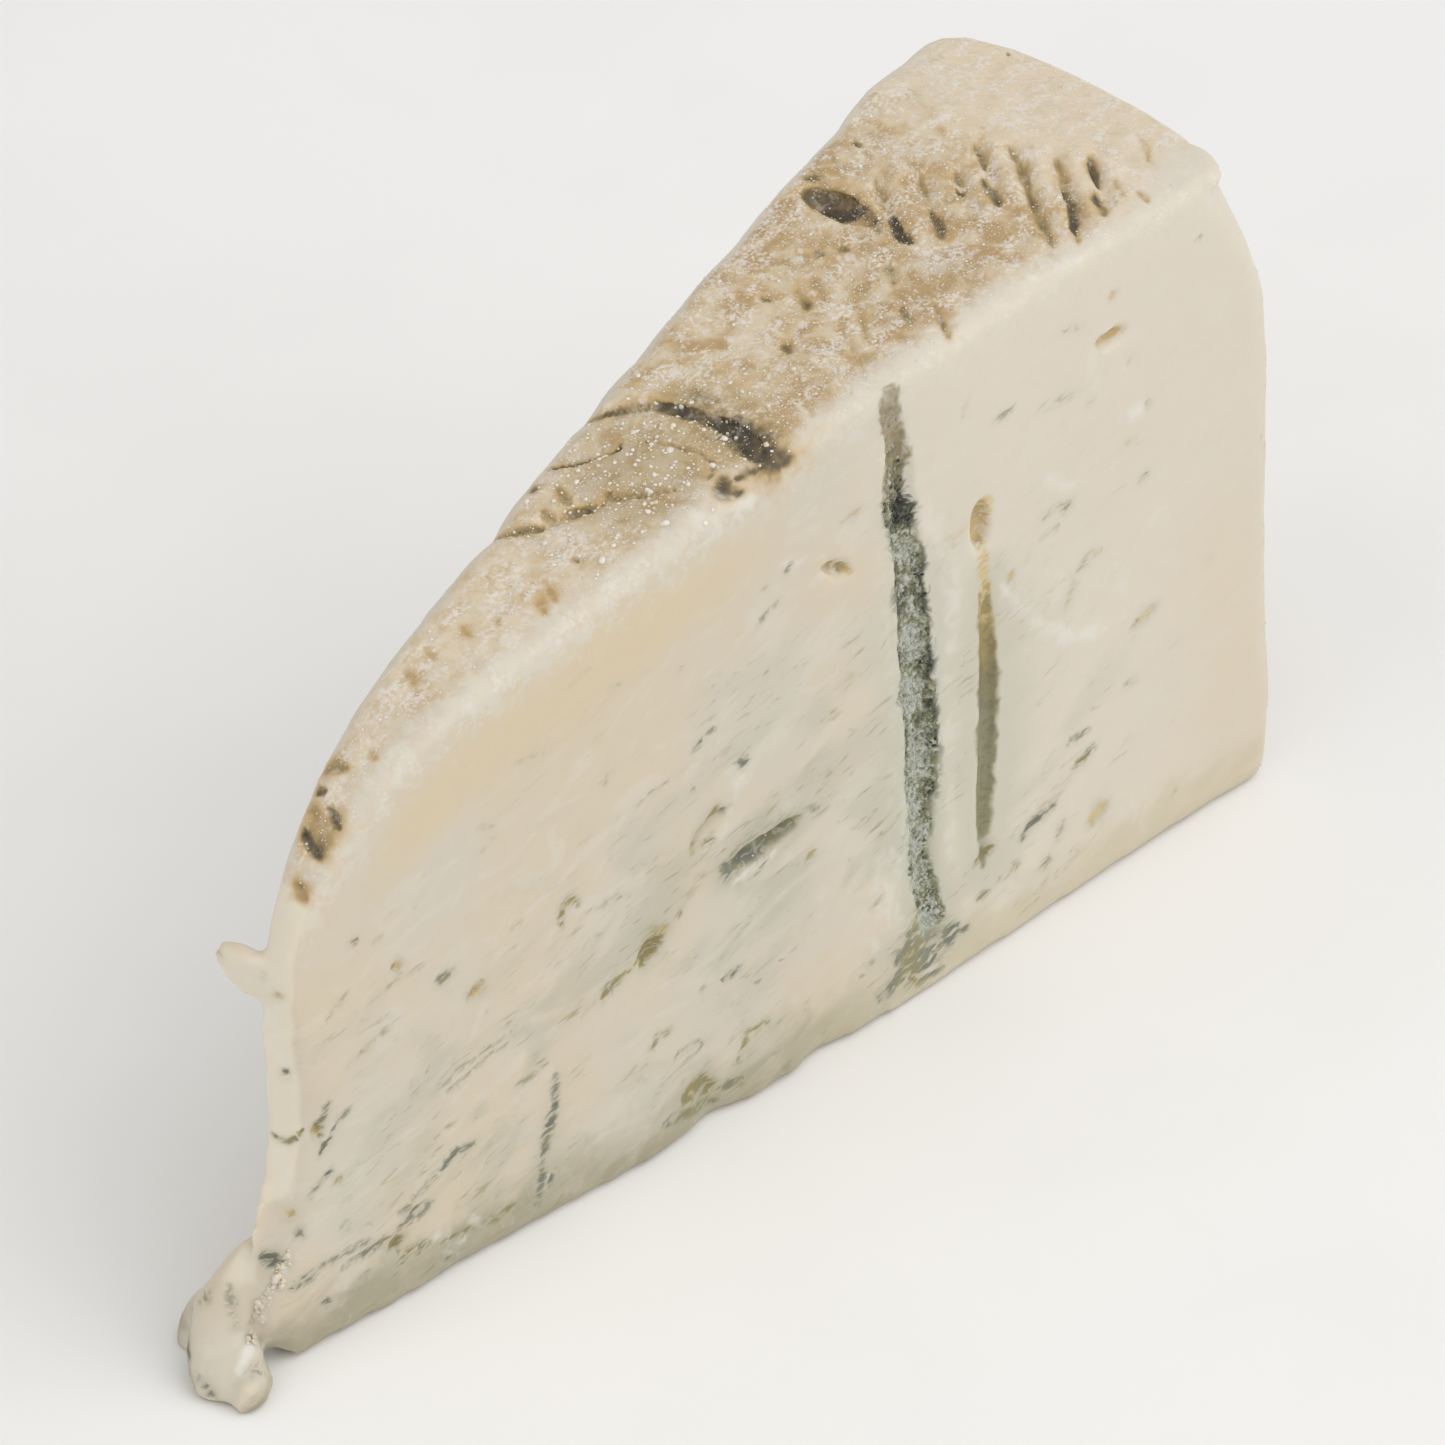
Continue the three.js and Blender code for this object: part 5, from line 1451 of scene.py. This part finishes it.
class CheeseSizes(bpy.types.PropertyGroup):
    """Sizes and amounts of the wedge's pieces."""

    skin_step: length_property(
        "Skin step", "Length of one step of the skin's mesh, before it is made finer", 0.9, 0.4, 4
    )
    relief: FloatProperty(
        name="Relief", description="How strongly the skin's unevenness shows",
        default=1.0, min=0, max=2, subtype="FACTOR",
    )
    crystals: count_property("Crystals", "Number of crystals in the rind", 8500, 9500)
    crystal_radius: length_property("Crystal radius", "Usual radius of a crystal", 0.078, 0.05, 1)
    beads: count_property("Beads", "Number of clear beads by the rind's folds", 240, 2400)
    bead_radius: length_property("Bead radius", "Usual radius of a bead", 0.17, 0.05, 1)
    crumbs: count_property("Crumbs", "Number of crumbs along the torn edge of the smear", 70, 900)
    crumb_radius: length_property("Crumb radius", "Usual radius of a crumb", 0.2, 0.05, 1)
    tufts: count_property("Tufts", "Number of tufts of mould in the veins", 2600, 9000)
    tuft_radius: length_property("Tuft radius", "Usual radius of a tuft", 0.2, 0.05, 2)


class CheeseColours(bpy.types.PropertyGroup):
    """Colours of the paste, the rind and the mould."""

    paste: colour_property("Paste", "The cut paste", "#D3CAB9")
    paste_warm: colour_property("Warm paste", "Riper patches of the paste", "#D6C8B0")
    paste_cool: colour_property("Cool paste", "Patches of the paste near mould", "#CCCBBD")
    paste_light: colour_property("Light curd", "Firmer curd between the riper", "#DCD6C9")
    paste_smoky: colour_property("Smoky paste", "Paste that mould shows through", "#B6B39F")
    paste_grey: colour_property("Greyed paste", "Paste around a vein", "#C8C5B4")
    channel_yellow: colour_property("Channel yellow", "The top of the narrow vein", "#9C8A4E")
    channel_dark: colour_property("Channel dark", "The narrow vein below its top", "#83774F")
    channel_grey: colour_property("Channel grey", "The middle of the narrow vein", "#8A8666")
    channel_pale: colour_property("Channel pale", "The foot of the narrow vein", "#8A845F")
    paste_band: colour_property("Warm band", "The ripe band under the rind", "#D7C6A6")
    paste_firm: colour_property("Firm paste", "Paste of the thick end, by the rim", "#DDD4C4")
    # Colour of the painted shade along the foot of the cuts at the thick end.
    paste_foot_shade: colour_property("Foot", "The low edge at the thick end", "#CFC4AA")
    nose_cream: colour_property("Nose", "The worn nose", "#E3DBC8")
    # Painted shade along the foot of the cuts and over the base, where the edge turns under.
    paste_low_shade: colour_property("Low edge", "The greasy edge along the foot of the cuts", "#938C70")
    paste_pale: colour_property("Pale edge", "Paste smeared along the top edges", "#D8D1C2")
    rind: colour_property("Rind", "The washed rind", "#D7C8AD")
    rind_pale: colour_property("Pale rind", "Paler parts of the rind", "#DFCFB5")
    rind_ruddy: colour_property("Ruddy rind", "Pinkish parts of the rind", "#CFB995")
    rind_deep: colour_property("Deep rind", "Browner spots of the rind", "#B89B6D")
    rind_fold: colour_property("Folded rind", "The damp rind in its folds", "#AB9873")
    film: colour_property("Film", "White film on the rind", "#E5DFD7")
    soil_tan: colour_property("Tan stain", "Thin edges of stains in the rind", "#C5A673")
    soil_olive: colour_property("Olive stain", "Stains in the rind", "#9F8A5C")
    soil_brown: colour_property("Brown stain", "Thick stains in the rind", "#6E5F42")
    soil_black: colour_property("Black stain", "The bottom of grooves in the rind", "#3D382C")
    chalk: colour_property("Chalk", "Dry chalky paste", "#E2DFD6")
    crystal: colour_property("Crystals", "Crystals in the rind", "#E9E2D6")
    # Black of thick mould, and in the veins also painted shade in the folds, where the bump dips.
    mould_black_and_fold_shade: colour_property("Mould black", "Folds of the mould", "#30322A")
    mould_dark: colour_property("Mould dark", "Thick mould", "#626454")
    mould_blue: colour_property("Mould blue", "Young blue mould", "#74786A")
    mould_grey: colour_property("Mould grey", "Old mould", "#8A8868")
    dash_olive: colour_property("Dash olive", "Fine dashes of old mould", "#9A9062")
    mould_olive: colour_property("Mould olive", "Greasy mould in crevices", "#90814A")
    vein_olive: colour_property("Vein olive", "The dried top of a vein", "#8E7F5C")
    pit_yellow: colour_property("Pit yellow", "The clear inside of pits", "#D2BA85")
    frost: colour_property("Frost", "Spores on the mould", "#BDBFB2")


class CHEESE_OT_wedge(bpy.types.Operator):
    """Build the wedge of paste and rind over its solid"""

    bl_idname = "cheese.wedge"
    bl_label = "Wedge"

    def execute(self, context):
        build_wedge(context.scene.cheese_sizes, context.scene.cheese_colours)
        return {"FINISHED"}


class CHEESE_OT_crystals(bpy.types.Operator):
    """Scatter crystals in the wedge's rind"""

    bl_idname = "cheese.crystals"
    bl_label = "Crystals"

    def execute(self, context):
        wedge = bpy.data.objects["wedge_cheese"]
        build_crystals(wedge, context.scene.cheese_sizes, context.scene.cheese_colours)
        return {"FINISHED"}


class CHEESE_OT_crumbs(bpy.types.Operator):
    """Set crumbs along the torn edge at the foot of the nose"""

    bl_idname = "cheese.crumbs"
    bl_label = "Crumbs"

    def execute(self, context):
        wedge = bpy.data.objects["wedge_cheese"]
        build_crumbs(wedge, context.scene.cheese_sizes, context.scene.cheese_colours)
        return {"FINISHED"}


class CHEESE_OT_mould(bpy.types.Operator):
    """Grow tufts of mould in the wedge's veins"""

    bl_idname = "cheese.mould"
    bl_label = "Mould"

    def execute(self, context):
        wedge = bpy.data.objects["wedge_cheese"]
        build_mould(wedge, context.scene.cheese_sizes, context.scene.cheese_colours)
        return {"FINISHED"}


class CHEESE_OT_stage(bpy.types.Operator):
    """Set the floor, the soft light and the camera"""

    bl_idname = "cheese.stage"
    bl_label = "Stage"

    def execute(self, context):
        build_stage()
        return {"FINISHED"}


OPERATORS = (CHEESE_OT_wedge, CHEESE_OT_crystals, CHEESE_OT_crumbs, CHEESE_OT_mould, CHEESE_OT_stage)


class CHEESE_PT_panel(bpy.types.Panel):
    """The wedge's sizes, colours and pieces"""

    bl_idname = "CHEESE_PT_panel"
    bl_label = "Gorgonzola Wedge"
    bl_space_type = "VIEW_3D"
    bl_region_type = "UI"
    bl_category = "Cheese"

    def draw(self, context):
        for group in (context.scene.cheese_sizes, context.scene.cheese_colours):
            box = self.layout.box()
            for name in group.__annotations__:
                box.prop(group, name)
        for operator in OPERATORS:
            self.layout.operator(operator.bl_idname)


CLASSES = (CheeseSizes, CheeseColours, *OPERATORS, CHEESE_PT_panel)


def register():
    """Adds the sizes, colours, operators and panel to Blender."""
    for cls in CLASSES:
        bpy.utils.register_class(cls)
    bpy.types.Scene.cheese_sizes = PointerProperty(type=CheeseSizes)
    bpy.types.Scene.cheese_colours = PointerProperty(type=CheeseColours)


def unregister():
    """Takes them out again."""
    del bpy.types.Scene.cheese_colours
    del bpy.types.Scene.cheese_sizes
    for cls in reversed(CLASSES):
        bpy.utils.unregister_class(cls)


def main():
    """Builds every piece."""
    register()
    bpy.ops.cheese.wedge()
    bpy.ops.cheese.crystals()
    bpy.ops.cheese.crumbs()
    bpy.ops.cheese.mould()
    bpy.ops.cheese.stage()


if __name__ == "__main__":
    main()
